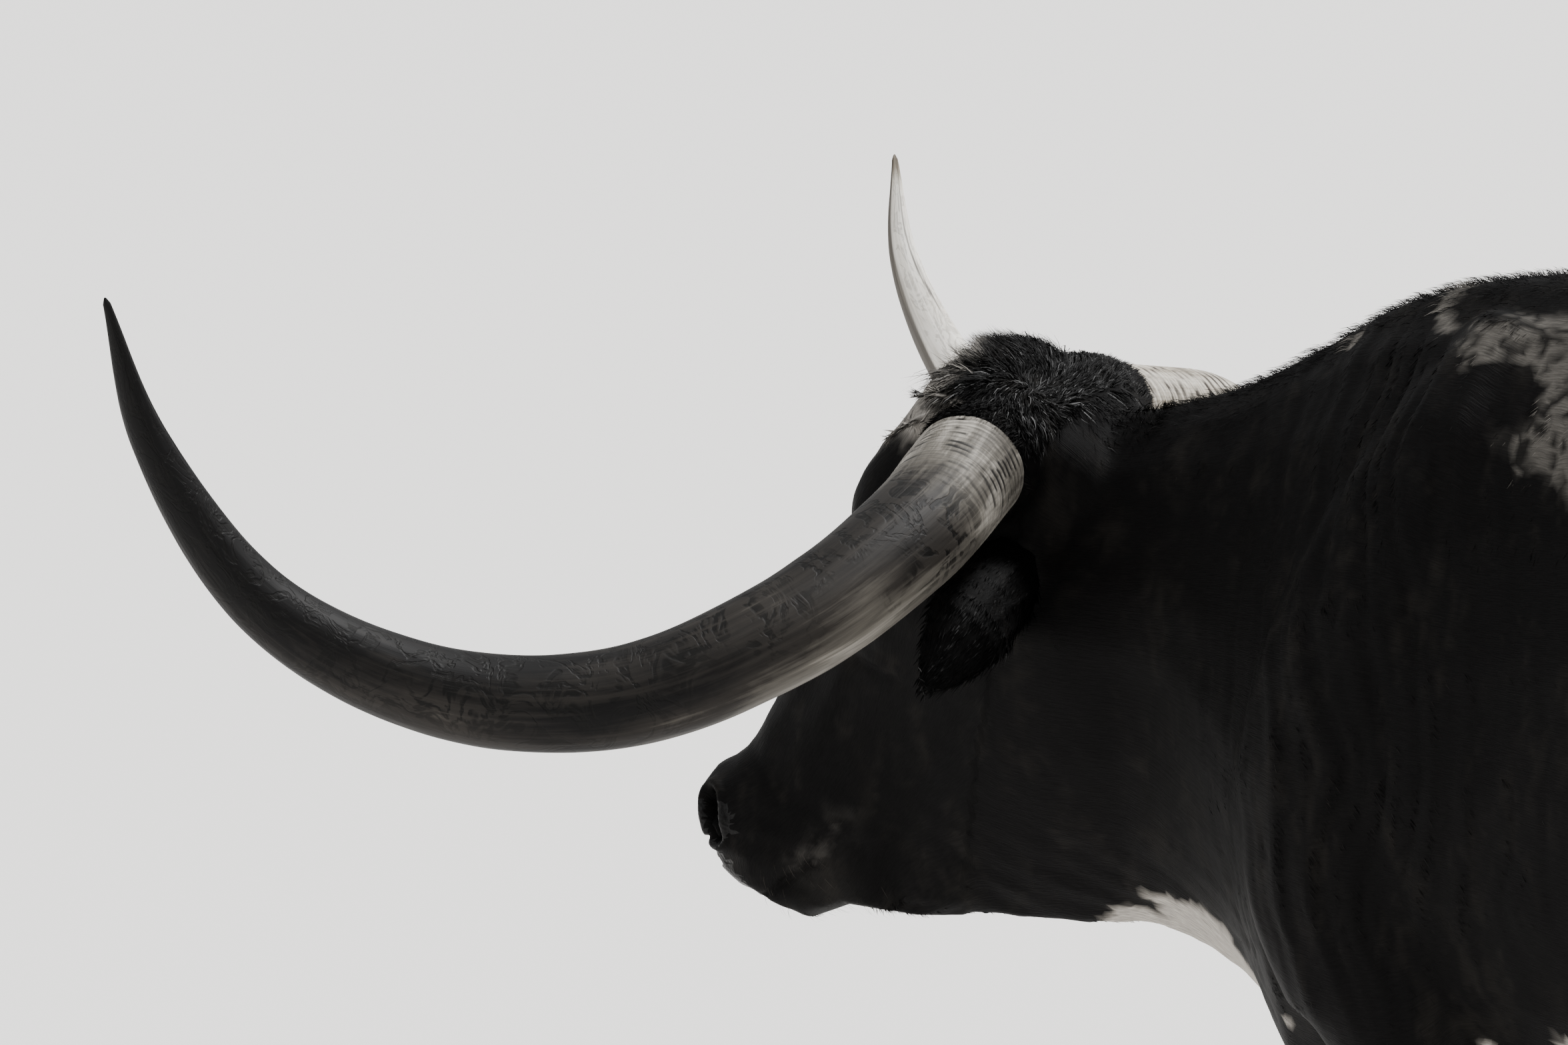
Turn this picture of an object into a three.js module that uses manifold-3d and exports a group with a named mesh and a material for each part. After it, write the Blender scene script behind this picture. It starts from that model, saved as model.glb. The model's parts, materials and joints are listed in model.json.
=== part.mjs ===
// A Texas longhorn steer, standing, life size. Millimetres, +Z up, the animal faces -X, its left side is -Y.
// Every form is a loft: rings round a path, closed at both ends, from a few named sizes.
// Sagittal stations give the back line and the belly line; the rest follows from widths and two roundness powers.
import * as THREE from "three";
import { mergeVertices } from "three/addons/utils/BufferGeometryUtils.js";
import Module from "manifold-3d";

const wasm = await Module();
wasm.setup();

// Driving sizes
const gap = 0.3; // between touching pieces
const pollHeight = 1225; // the line through both horn roots, above the floor
const headTurn = THREE.MathUtils.degToRad(13.5); // the head looks to the animal's left
const neckBend = 470; // length of the neck that takes up the turn
const headPitch = THREE.MathUtils.degToRad(57); // the head's long axis below the horizontal
const withersTop = 235; // above the horn line
const hornRoot = 151; // from the midline to where horn leaves the hair
const hornRadius = 54.5;
const eyeRadius = 21;
const stance = { fore: 168, hind: 185 }; // feet from the midline
const up = new THREE.Vector3(0, 0, 1);

// Small tools
const lerp = THREE.MathUtils.lerp;
const smooth = (x, a, b) => THREE.MathUtils.smoothstep(x, a, b);
const bump = (distance, reach) => Math.exp(-((distance / reach) ** 2));
const vec = (x, y, z) => new THREE.Vector3(x, y, z);

// A seeded draw from 0 to 1, so that each build is the same.
function draws(seed) {
  let state = seed;
  return () => {
    state = (state * 1664525 + 1013904223) % 4294967296;
    return state / 4294967296;
  };
}

// A smooth curve through the stations' numbers, read at any place along them.
function track(stations, key) {
  const at = stations.map((s) => s.at);
  const values = stations.map((s) => s[key]);
  const slope = values.map((_, i) => {
    if (i === 0 || i === values.length - 1) return 0;
    const before = (values[i] - values[i - 1]) / (at[i] - at[i - 1]);
    const after = (values[i + 1] - values[i]) / (at[i + 1] - at[i]);
    return before * after <= 0 ? 0 : (2 * before * after) / (before + after);
  });
  return (x) => {
    let i = 0;
    while (i < at.length - 2 && x > at[i + 1]) i += 1;
    const h = at[i + 1] - at[i];
    const t = THREE.MathUtils.clamp((x - at[i]) / h, 0, 1);
    return (
      (1 + 2 * t) * (1 - t) ** 2 * values[i] +
      t * (1 - t) ** 2 * h * slope[i] +
      t * t * (3 - 2 * t) * values[i + 1] +
      t * t * (t - 1) * h * slope[i + 1]
    );
  };
}

// Rings of equal count become one closed surface. Each end is closed with a fan, or, for a crescent,
// with a strip between its outer and its inner arc.
function loft(rings, crescent = false) {
  const count = rings[0].length;
  const points = rings.flat();
  const tail = (rings.length - 1) * count;
  const middle = (ring) => ring.reduce((sum, p) => sum.add(p), vec(0, 0, 0)).divideScalar(count);
  const faces = [];
  for (let r = 0; r < rings.length - 1; r += 1) {
    for (let k = 0; k < count; k += 1) {
      const a = r * count + k;
      const b = r * count + ((k + 1) % count);
      faces.push(a, b, a + count, b, b + count, a + count);
    }
  }
  if (crescent) {
    for (let k = 0; k < count / 2 - 1; k += 1) {
      const [a, b, c, d] = [k, k + 1, count - 2 - k, count - 1 - k];
      faces.push(a, c, b, a, d, c);
      faces.push(tail + a, tail + b, tail + c, tail + a, tail + c, tail + d);
    }
  } else {
    const first = points.push(middle(rings[0])) - 1;
    const last = points.push(middle(rings.at(-1))) - 1;
    for (let k = 0; k < count; k += 1) {
      faces.push(first, (k + 1) % count, k);
      faces.push(last, tail + k, tail + ((k + 1) % count));
    }
  }
  const geometry = new THREE.BufferGeometry().setFromPoints(points);
  geometry.setIndex(faces);
  return geometry;
}

// Solids join and cut as manifolds, and go back to geometry at the end.
function solid(geometry) {
  const bare = geometry.clone();
  bare.deleteAttribute("normal");
  bare.deleteAttribute("uv");
  const merged = mergeVertices(bare, 1e-3);
  const vertProperties = new Float32Array(merged.attributes.position.array);
  const triVerts = new Uint32Array(merged.index.array);
  const made = new wasm.Manifold(new wasm.Mesh({ numProp: 3, vertProperties, triVerts }));
  if (made.volume() >= 0) return made;
  for (let i = 0; i < triVerts.length; i += 3) {
    [triVerts[i + 1], triVerts[i + 2]] = [triVerts[i + 2], triVerts[i + 1]];
  }
  return new wasm.Manifold(new wasm.Mesh({ numProp: 3, vertProperties, triVerts }));
}

const biggest = (made) => made.decompose().reduce((a, b) => (a.volume() > b.volume() ? a : b));
// Slivers go, then whatever came loose; twice, because rounding a thin edge can free a crumb.
const largest = (made) => biggest(solid(geometryOf(biggest(made.simplify(0.16)))));
const join = (...solids) => solids.reduce((a, b) => a.add(b));
const cut = (made, ...others) => others.reduce((a, b) => a.subtract(b), made);

function geometryOf(made) {
  const mesh = made.getMesh();
  const position = new Float32Array(mesh.numVert * 3);
  for (let i = 0; i < mesh.numVert; i += 1) {
    position.set(mesh.vertProperties.subarray(i * mesh.numProp, i * mesh.numProp + 3), i * 3);
  }
  const geometry = new THREE.BufferGeometry();
  geometry.setAttribute("position", new THREE.BufferAttribute(position, 3));
  geometry.setIndex(new THREE.BufferAttribute(new Uint32Array(mesh.triVerts), 1));
  return geometry;
}

// Where the midline lies in plan: straight along the back, bending to the head's turn along the neck.
// back is the distance behind the horn line, side is towards the animal's left.
function bodyPoint(back, side, height) {
  const steps = 24;
  const turnAt = (b) => headTurn * (1 - smooth(b, -60, neckBend));
  let x = 0;
  let y = 0;
  for (let i = 0; i < steps; i += 1) {
    const turn = turnAt((back * (i + 0.5)) / steps);
    x += (Math.cos(turn) * back) / steps;
    y += (Math.sin(turn) * back) / steps;
  }
  const turn = turnAt(back);
  return vec(x + side * Math.sin(turn), y - side * Math.cos(turn), pollHeight + height);
}

// The head's own frame: fore along the look, side to its left, height above the horn line.
function headPoint(fore, side, height) {
  const cos = Math.cos(headTurn);
  const sin = Math.sin(headTurn);
  return vec(-fore * cos + side * sin, -fore * sin - side * cos, pollHeight + height);
}

// Along and over the face: along runs from poll to muzzle, over stands out from the face.
function facePoint(along, side, over) {
  const cos = Math.cos(headPitch);
  const sin = Math.sin(headPitch);
  return headPoint(along * cos + over * sin, side, -along * sin + over * cos);
}

// One ring in a sagittal station: top and bottom points, half width, the height of the widest place,
// and a roundness power for each half (1 is a wedge, 2 an ellipse, more is boxier).
function stationRing(station, sides, place) {
  const ring = [];
  for (let k = 0; k < sides; k += 1) {
    const angle = ((k + 0.5) / sides) * 2 * Math.PI;
    const upper = Math.cos(angle) >= 0;
    const power = 2 / (upper ? station.topPower : station.lowPower);
    const rise = Math.abs(Math.cos(angle)) ** power;
    const out = Math.abs(Math.sin(angle)) ** power * Math.sign(Math.sin(angle)) * station.half;
    const level = upper ? lerp(station.wide, 1, rise) : lerp(station.wide, 0, rise);
    const back = lerp(station.bottomBack, station.topBack, level);
    const height = lerp(station.bottom, station.top, level);
    ring.push(place(back, out, height, level));
  }
  return ring;
}

function stationLoft(stations, steps, sides, place) {
  const keys = Object.keys(stations[0]).filter((key) => key !== "at");
  const tracks = Object.fromEntries(keys.map((key) => [key, track(stations, key)]));
  const from = stations[0].at;
  const to = stations.at(-1).at;
  const rings = [];
  for (let i = 0; i <= steps; i += 1) {
    const at = lerp(from, to, i / steps);
    const station = Object.fromEntries(keys.map((key) => [key, tracks[key](at)]));
    rings.push(stationRing(station, sides, (...args) => place(...args, at)));
  }
  return loft(rings);
}

// Trunk and neck: stations from the throat back to the rump
const trunkStations = [
  { at: 0, topBack: -60, top: -40, bottomBack: -238, bottom: -472, half: 34, wide: 0.5, topPower: 2, lowPower: 1.6 },
  { at: 1, topBack: -20, top: 10, bottomBack: -130, bottom: -482, half: 70, wide: 0.55, topPower: 2, lowPower: 1.4 },
  { at: 2, topBack: 40, top: 34, bottomBack: -20, bottom: -484, half: 96, wide: 0.6, topPower: 2, lowPower: 1.35 },
  { at: 3, topBack: 110, top: 42, bottomBack: 55, bottom: -479, half: 108, wide: 0.6, topPower: 1.9, lowPower: 1.3 },
  { at: 4, topBack: 190, top: 68, bottomBack: 125, bottom: -468, half: 122, wide: 0.57, topPower: 1.8, lowPower: 1.3 },
  { at: 5, topBack: 262, top: 98, bottomBack: 200, bottom: -484, half: 148, wide: 0.53, topPower: 1.7, lowPower: 1.35 },
  { at: 6, topBack: 330, top: 138, bottomBack: 272, bottom: -520, half: 178, wide: 0.5, topPower: 1.65, lowPower: 1.5 },
  { at: 7, topBack: 400, top: 178, bottomBack: 328, bottom: -580, half: 206, wide: 0.47, topPower: 1.65, lowPower: 1.65 },
  { at: 8, topBack: 480, top: 207, bottomBack: 390, bottom: -625, half: 232, wide: 0.45, topPower: 1.7, lowPower: 1.8 },
  { at: 9, topBack: 575, top: 223, bottomBack: 530, bottom: -600, half: 250, wide: 0.45, topPower: 1.75, lowPower: 1.9 },
  { at: 10, topBack: 690, top: withersTop, bottomBack: 670, bottom: -560, half: 262, wide: 0.46, topPower: 1.85, lowPower: 2 },
  { at: 11, topBack: 850, top: 214, bottomBack: 850, bottom: -552, half: 288, wide: 0.47, topPower: 2, lowPower: 2.1 },
  { at: 12, topBack: 1020, top: 196, bottomBack: 1020, bottom: -560, half: 306, wide: 0.47, topPower: 2.05, lowPower: 2.1 },
  { at: 13, topBack: 1190, top: 190, bottomBack: 1190, bottom: -552, half: 304, wide: 0.49, topPower: 2.05, lowPower: 2.1 },
  { at: 14, topBack: 1350, top: 196, bottomBack: 1340, bottom: -505, half: 276, wide: 0.54, topPower: 2.15, lowPower: 2 },
  { at: 15, topBack: 1480, top: 206, bottomBack: 1470, bottom: -440, half: 250, wide: 0.62, topPower: 2.3, lowPower: 2 },
  { at: 16, topBack: 1600, top: 200, bottomBack: 1590, bottom: -400, half: 236, wide: 0.62, topPower: 2.2, lowPower: 2 },
  { at: 17, topBack: 1720, top: 180, bottomBack: 1710, bottom: -360, half: 216, wide: 0.6, topPower: 2, lowPower: 2 },
  { at: 18, topBack: 1830, top: 146, bottomBack: 1820, bottom: -300, half: 180, wide: 0.58, topPower: 1.9, lowPower: 2 },
  { at: 19, topBack: 1900, top: 92, bottomBack: 1890, bottom: -190, half: 122, wide: 0.56, topPower: 1.9, lowPower: 2 },
  { at: 20, topBack: 1932, top: 10, bottomBack: 1930, bottom: -80, half: 52, wide: 0.5, topPower: 2, lowPower: 2 },
];

// Swellings and hollows of the trunk: each moves the surface sideways by out within its reach.
const trunkForms = [
  { name: "neck muscle behind the jaw", back: 60, height: -150, reachBack: 70, reachHeight: 130, out: 9 },
  { name: "jugular groove, front", back: 175, height: -240, reachBack: 60, reachHeight: 60, out: -13 },
  { name: "jugular groove, back", back: 300, height: -330, reachBack: 70, reachHeight: 60, out: -14 },
  { name: "hollow before the shoulder", back: 330, height: -60, reachBack: 45, reachHeight: 150, out: -14 },
  { name: "shoulder blade", back: 520, height: 20, reachBack: 80, reachHeight: 160, out: 16 },
  { name: "hollow behind the shoulder", back: 700, height: 20, reachBack: 55, reachHeight: 190, out: -14 },
  { name: "hook of the hip", back: 1470, height: 95, reachBack: 60, reachHeight: 60, out: 26 },
  { name: "hollow of the flank", back: 1370, height: -20, reachBack: 80, reachHeight: 110, out: -24 },
  { name: "pin bone", back: 1860, height: 30, reachBack: 50, reachHeight: 50, out: 18 },
];

function trunkPlace(grow) {
  return (back, side, height, level) => {
    const reach = Math.min(1, Math.abs(side) / 60);
    let out = grow;
    for (const form of trunkForms) {
      out += form.out * reach * bump(back - form.back, form.reachBack) * bump(height - form.height, form.reachHeight);
    }
    const skirt = (level - 0.5) * 2 * grow;
    return bodyPoint(back, side + Math.sign(side) * out, height + skirt);
  };
}

const trunkSolid = (grow) => solid(stationLoft(trunkStations, 36, 22, trunkPlace(grow)));

// A limb, haunch or tail: an oval section along a path of named places, each with fore-aft and side radii.
function limbLoft(places, steps, sides, grow = 0) {
  const keys = ["back", "side", "height", "deep", "broad"];
  const numbered = places.map((p, i) => ({ at: i, ...p }));
  const tracks = Object.fromEntries(keys.map((key) => [key, track(numbered, key)]));
  const centre = (at) => vec(tracks.back(at), tracks.side(at), tracks.height(at));
  const rings = [];
  for (let i = 0; i <= steps; i += 1) {
    const at = ((places.length - 1) * i) / steps;
    const ahead = centre(Math.min(at + 0.05, places.length - 1)).sub(centre(Math.max(at - 0.05, 0))).normalize();
    const sideways = vec(0, 1, 0).addScaledVector(ahead, -ahead.y).normalize();
    const foreAft = new THREE.Vector3().crossVectors(sideways, ahead);
    const reach = grow * (2 * at - places.length + 1) / (places.length - 1);
    const ring = [];
    for (let k = 0; k < sides; k += 1) {
      const angle = (k / sides) * 2 * Math.PI;
      const point = centre(at)
        .addScaledVector(ahead, reach)
        .addScaledVector(foreAft, Math.cos(angle) * (tracks.deep(at) + grow))
        .addScaledVector(sideways, Math.sin(angle) * (tracks.broad(at) + grow));
      ring.push(point);
    }
    rings.push(ring);
  }
  return rings;
}

// The body's straight part sits this far to one side of the head's midline, because the neck bends.
const trunkLine = bodyPoint(900, 0, 0);
const trunkShift = trunkLine.x - 900;

// left is 1 on the animal's left, -1 on its right. heights are above the floor.
function limb(places, steps, sides, left, grow) {
  const rings = limbLoft(places, steps, sides, grow);
  return solid(loft(rings.map((ring) => ring.map((p) => vec(p.x + trunkShift, trunkLine.y - p.y * left, p.z)))));
}

// Shoulder and haunch masses, part of the torso
const shoulder = [
  { back: 590, side: 52, height: 1400, deep: 60, broad: 44 },
  { back: 566, side: 104, height: 1300, deep: 92, broad: 76 },
  { back: 520, side: 158, height: 1150, deep: 112, broad: 92 },
  { back: 478, side: 180, height: 1000, deep: 116, broad: 84 },
  { back: 496, side: 182, height: 880, deep: 118, broad: 74 },
  { back: 540, side: 178, height: 780, deep: 88, broad: 60 },
  { back: 550, side: 172, height: 715, deep: 56, broad: 44 },
];
const haunch = [
  { back: 1560, side: 62, height: 1385, deep: 80, broad: 48 },
  { back: 1610, side: 128, height: 1290, deep: 150, broad: 96 },
  { back: 1640, side: 152, height: 1130, deep: 196, broad: 106 },
  { back: 1630, side: 168, height: 980, deep: 200, broad: 100 },
  { back: 1632, side: 176, height: 870, deep: 168, broad: 86 },
  { back: 1662, side: 180, height: 780, deep: 108, broad: 66 },
  { back: 1692, side: 184, height: 730, deep: 64, broad: 46 },
];

// The steer's sheath, under the belly
const sheath = [
  { back: 1150, side: 0, height: 700, deep: 30, broad: 30 },
  { back: 1210, side: 0, height: 662, deep: 34, broad: 30 },
  { back: 1262, side: 0, height: 630, deep: 24, broad: 22 },
  { back: 1280, side: 0, height: 612, deep: 8, broad: 8 },
];

// Legs below the body. step moves the foot along the body, so that the four don't stand square.
function forelegPlaces(step) {
  return [
    { back: 545, side: 176, height: 800, deep: 66, broad: 48 },
    { back: 550, side: 172, height: 720, deep: 66, broad: 50 },
    { back: 552 + step * 0.3, side: 170, height: 620, deep: 50, broad: 42 },
    { back: 552 + step * 0.5, side: 169, height: 520, deep: 40, broad: 37 },
    { back: 550 + step * 0.6, side: 168, height: 455, deep: 45, broad: 44 },
    { back: 553 + step * 0.7, side: stance.fore, height: 405, deep: 38, broad: 38 },
    { back: 556 + step * 0.8, side: stance.fore, height: 320, deep: 29, broad: 28 },
    { back: 558 + step * 0.9, side: stance.fore, height: 225, deep: 31, broad: 31 },
    { back: 558 + step, side: stance.fore, height: 178, deep: 40, broad: 41 },
    { back: 540 + step, side: stance.fore, height: 128, deep: 36, broad: 40 },
    { back: 516 + step, side: stance.fore, height: 80, deep: 46, broad: 52 },
    { back: 508 + step, side: stance.fore, height: 62, deep: 44, broad: 50 },
  ];
}
function hindlegPlaces(step) {
  return [
    { back: 1650, side: 182, height: 830, deep: 110, broad: 60 },
    { back: 1690, side: 184, height: 750, deep: 92, broad: 58 },
    { back: 1760, side: 185, height: 665, deep: 62, broad: 46 },
    { back: 1815 + step * 0.4, side: stance.hind, height: 600, deep: 50, broad: 36 },
    { back: 1838 + step * 0.5, side: stance.hind, height: 545, deep: 52, broad: 38 },
    { back: 1826 + step * 0.6, side: stance.hind, height: 480, deep: 42, broad: 36 },
    { back: 1808 + step * 0.7, side: stance.hind, height: 390, deep: 31, broad: 29 },
    { back: 1792 + step * 0.85, side: stance.hind, height: 260, deep: 32, broad: 30 },
    { back: 1784 + step, side: stance.hind, height: 190, deep: 41, broad: 41 },
    { back: 1762 + step, side: stance.hind, height: 132, deep: 37, broad: 39 },
    { back: 1736 + step, side: stance.hind, height: 80, deep: 46, broad: 50 },
    { back: 1728 + step, side: stance.hind, height: 62, deep: 44, broad: 48 },
  ];
}

// A hoof claw: half of a cloven foot, flat below, sloping forward at the toe. inner is 1 or -1.
const clawSize = { length: 118, width: 44, height: 74, toe: 1.12, split: 4 };
function clawSolid(back, side, left, inner) {
  const rings = [];
  const levels = 4;
  for (let i = 0; i <= levels; i += 1) {
    const t = i / levels;
    const height = clawSize.height * t;
    const long = clawSize.length * lerp(0.5, 0.4, t);
    const wide = (clawSize.width / 2) * lerp(1, 0.92, t);
    const lean = lerp(-clawSize.length * 0.16, 0, t);
    const ring = [];
    for (let k = 0; k < 14; k += 1) {
      const angle = (k / 14) * 2 * Math.PI;
      const fore = -Math.cos(angle);
      const taper = fore < 0 ? lerp(1, 0.62, fore * fore) : 1;
      const x = back + lean + fore * long * (fore < 0 ? clawSize.toe * lerp(1, 0.72, t) : 0.86);
      const across = Math.sin(angle) * wide * taper;
      const y = side + inner * (clawSize.split / 2 + clawSize.width / 2) + across;
      ring.push(vec(x + trunkShift, trunkLine.y - y * left, height));
    }
    rings.push(ring);
  }
  return solid(loft(rings));
}

// The two small dewclaws behind each fetlock
function dewclaws(place, left) {
  return [1, -1].map((inner) => {
    const middle = vec(place.back + 34 + trunkShift, trunkLine.y - (place.side + inner * 17) * left, place.height - 14);
    return ball(middle, 14, 0.85, 6, 4);
  });
}

// Head stations along the face line, from the back of the poll to the muzzle
const headStations = [
  { at: -78, top: 22, bottom: -60, half: 52, wide: 0.5, topPower: 2, lowPower: 2 },
  { at: -62, top: 56, bottom: -110, half: 92, wide: 0.55, topPower: 2.2, lowPower: 2 },
  { at: -30, top: 93, bottom: -155, half: 116, wide: 0.62, topPower: 2.8, lowPower: 1.9 },
  { at: 10, top: 112, bottom: -195, half: 116, wide: 0.64, topPower: 3.4, lowPower: 1.8 },
  { at: 60, top: 112, bottom: -222, half: 110, wide: 0.66, topPower: 3.6, lowPower: 1.8 },
  { at: 110, top: 107, bottom: -232, half: 110, wide: 0.7, topPower: 3.5, lowPower: 1.8 },
  { at: 160, top: 99, bottom: -226, half: 105, wide: 0.7, topPower: 2.9, lowPower: 1.85 },
  { at: 215, top: 92, bottom: -210, half: 92, wide: 0.62, topPower: 2.4, lowPower: 2 },
  { at: 275, top: 87, bottom: -186, half: 76, wide: 0.58, topPower: 2.1, lowPower: 2 },
  { at: 335, top: 83, bottom: -158, half: 65, wide: 0.56, topPower: 2, lowPower: 2 },
  { at: 390, top: 77, bottom: -134, half: 58, wide: 0.56, topPower: 2, lowPower: 2.1 },
  { at: 435, top: 74, bottom: -118, half: 58, wide: 0.56, topPower: 2, lowPower: 2.2 },
  { at: 465, top: 79, bottom: -95, half: 63, wide: 0.58, topPower: 2.2, lowPower: 2.2 },
  { at: 492, top: 93, bottom: -87, half: 68, wide: 0.62, topPower: 2.4, lowPower: 2.1 },
  { at: 518, top: 92, bottom: -90, half: 67, wide: 0.64, topPower: 2.5, lowPower: 2 },
  { at: 541, top: 70, bottom: -86, half: 60, wide: 0.62, topPower: 2.5, lowPower: 2 },
  { at: 558, top: 47, bottom: -74, half: 52, wide: 0.6, topPower: 2.4, lowPower: 2 },
  { at: 569, top: 26, bottom: -48, half: 34, wide: 0.6, topPower: 2.2, lowPower: 2 },
];

// Places on the head, along and over the face line
const eye = { along: 168, over: 34, side: 92 };
const mouth = { cornerAlong: 480, cornerOver: -52, frontAlong: 566, frontOver: -12 };

const headForms = [
  { name: "brow", along: 128, over: 66, reachAlong: 34, reachOver: 30, out: 13, lift: 7 },
  { name: "cheek bone", along: 205, over: 0, reachAlong: 46, reachOver: 16, out: 9, lift: 0 },
  { name: "temple hollow", along: 70, over: 10, reachAlong: 34, reachOver: 34, out: -9, lift: 0 },
  { name: "jaw muscle", along: 150, over: -120, reachAlong: 70, reachOver: 60, out: 10, lift: 0 },
  { name: "hollow of the cheek", along: 330, over: -40, reachAlong: 70, reachOver: 40, out: -7, lift: 0 },
  { name: "face crest", along: 285, over: 10, reachAlong: 50, reachOver: 11, out: 5, lift: 0 },
  { name: "nostril wing", along: 512, over: 40, reachAlong: 24, reachOver: 24, out: 7, lift: 0 },
  { name: "upper lip", along: 520, over: -8, reachAlong: 32, reachOver: 20, out: 6, lift: 0 },
  { name: "lower lip", along: 515, over: -62, reachAlong: 34, reachOver: 16, out: 3, lift: 0 },
];

// How far a point of the face is from the line of the mouth, and how far along it
function mouthLine(along, over) {
  const t = (along - mouth.cornerAlong) / (mouth.frontAlong - mouth.cornerAlong);
  const bow = 9 * Math.sin(Math.PI * THREE.MathUtils.clamp(t, 0, 1));
  const line = lerp(mouth.cornerOver, mouth.frontOver, t) - bow;
  return { t, off: over - line };
}

function headPlace(over, side, along, grow) {
  const facing = Math.min(1, Math.abs(side) / 30);
  let out = grow;
  let lift = 0;
  for (const form of headForms) {
    const share = bump(along - form.along, form.reachAlong) * bump(over - form.over, form.reachOver);
    out += form.out * facing * share;
    lift += form.lift * facing * share;
  }
  const line = mouthLine(along, over);
  const groove = 7 * smooth(line.t, -0.08, 0.08) * bump(line.off, 7);
  const inward = 1 - groove / Math.max(30, Math.hypot(side, 30));
  const pull = along > 530 ? groove * 0.8 : 0;
  return facePoint(along - pull, (side + Math.sign(side) * out) * inward, over + lift);
}

function headLoft(grow) {
  const keys = Object.keys(headStations[0]).filter((key) => key !== "at");
  const tracks = Object.fromEntries(keys.map((key) => [key, track(headStations, key)]));
  const rings = [];
  const steps = 38;
  const from = headStations[0].at;
  const length = headStations.at(-1).at - from;
  for (let i = 0; i <= steps; i += 1) {
    const at = from + length * (i / steps) ** 0.94;
    const station = Object.fromEntries(keys.map((key) => [key, tracks[key](at)]));
    station.topBack = 0;
    station.bottomBack = 0;
    rings.push(stationRing(station, 30, (_, side, over) => headPlace(over, side, at, grow)));
  }
  return loft(rings);
}

// Horns: a curve of named bends in the head's frame, sideways, forward and up from the horn line
const hornBends = [
  { side: hornRoot, fore: 0, height: 0, radius: hornRadius },
  { side: 326, fore: -26, height: -34, radius: 52.8 },
  { side: 476, fore: 23, height: -97, radius: 50.3 },
  { side: 587, fore: 136, height: -147, radius: 46.2 },
  { side: 671, fore: 273, height: -137, radius: 41 },
  { side: 735, fore: 408, height: -60, radius: 31.5 },
  { side: 785, fore: 493, height: 88, radius: 17.8 },
  { side: 829, fore: 508, height: 223, radius: 3 },
];
// The right horn is a little slimmer, reaches further forward and stays lower at the tip.
const rightTip = { side: -32, fore: 65, height: -91, slim: 0.96 };

function hornCurve(left) {
  const points = hornBends.map((bend, i) => {
    const share = left > 0 ? 0 : (i / (hornBends.length - 1)) ** 2;
    const side = (bend.side + rightTip.side * share) * left;
    return headPoint(bend.fore + rightTip.fore * share, side, bend.height + rightTip.height * share);
  });
  return new THREE.CatmullRomCurve3(points, false, "centripetal");
}

function hornLoft(left, steps, sides, start) {
  const curve = hornCurve(left);
  const radii = new THREE.CatmullRomCurve3(hornBends.map((bend, i) => vec(i, bend.radius, 0)));
  const slim = left > 0 ? 1 : rightTip.slim;
  const frames = curve.computeFrenetFrames(steps, false);
  const rings = [];
  for (let i = 0; i <= steps; i += 1) {
    const t = i / steps;
    const along = curve.getUtoTmapping(t);
    const centre = curve.getPoint(along);
    if (i === 0) centre.addScaledVector(frames.tangents[0], start);
    const growth = 1 + 0.018 * Math.sin(t * 150) * (1 - smooth(t, 0.04, 0.16));
    const radius = radii.getPoint(along).y * slim * growth;
    const ring = [];
    for (let k = 0; k < sides; k += 1) {
      const angle = (k / sides) * 2 * Math.PI;
      ring.push(
        centre
          .clone()
          .addScaledVector(frames.normals[i], Math.cos(angle) * radius)
          .addScaledVector(frames.binormals[i], Math.sin(angle) * radius * 0.97),
      );
    }
    rings.push(ring);
  }
  return loft(rings);
}

// The root of the horn, under hair, from inside the skull out to the horn
function hornRootLoft(left) {
  const curve = hornCurve(left);
  const outward = curve.getTangent(0);
  const from = headPoint(-4, 60 * left, 4);
  const to = curve.getPoint(0);
  const rings = [];
  const steps = 6;
  for (let i = 0; i <= steps; i += 1) {
    const t = i / steps;
    const centre = from.clone().lerp(to, t);
    const axis = outward.clone();
    const across = new THREE.Vector3().crossVectors(axis, up).normalize();
    const over = new THREE.Vector3().crossVectors(across, axis).normalize();
    const slim = left > 0 ? 1 : rightTip.slim;
    const radius = hornRadius * slim + lerp(15, 5, smooth(t, 0.2, 0.85)) - (t > 0.99 ? 6 : 0);
    const ring = [];
    for (let k = 0; k < 18; k += 1) {
      const angle = (k / 18) * 2 * Math.PI;
      ring.push(
        centre
          .clone()
          .addScaledVector(across, Math.cos(angle) * radius)
          .addScaledVector(over, Math.sin(angle) * radius * 1.02),
      );
    }
    rings.push(ring);
  }
  return loft(rings);
}

// Poll: the hairy crown between the horns, standing above the skull
const poll = { fore: 28, height: 10, deep: 72, high: 68, broad: 134 };
function pollPoint(t, angle, full, proud = 1) {
  const fore = poll.fore + Math.cos(angle) * poll.deep * full * proud;
  return headPoint(fore, t * poll.broad, poll.height + Math.sin(angle) * poll.high * full * proud);
}
function pollLoft() {
  const rings = [];
  const steps = 12;
  for (let i = 0; i <= steps; i += 1) {
    const t = -Math.cos((i / steps) * Math.PI);
    const full = Math.sqrt(Math.max(0.015, 1 - t * t));
    const ring = [];
    for (let k = 0; k < 18; k += 1) {
      const angle = (k / 18) * 2 * Math.PI;
      ring.push(pollPoint(t, angle, full));
    }
    rings.push(ring);
  }
  return loft(rings);
}

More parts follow.
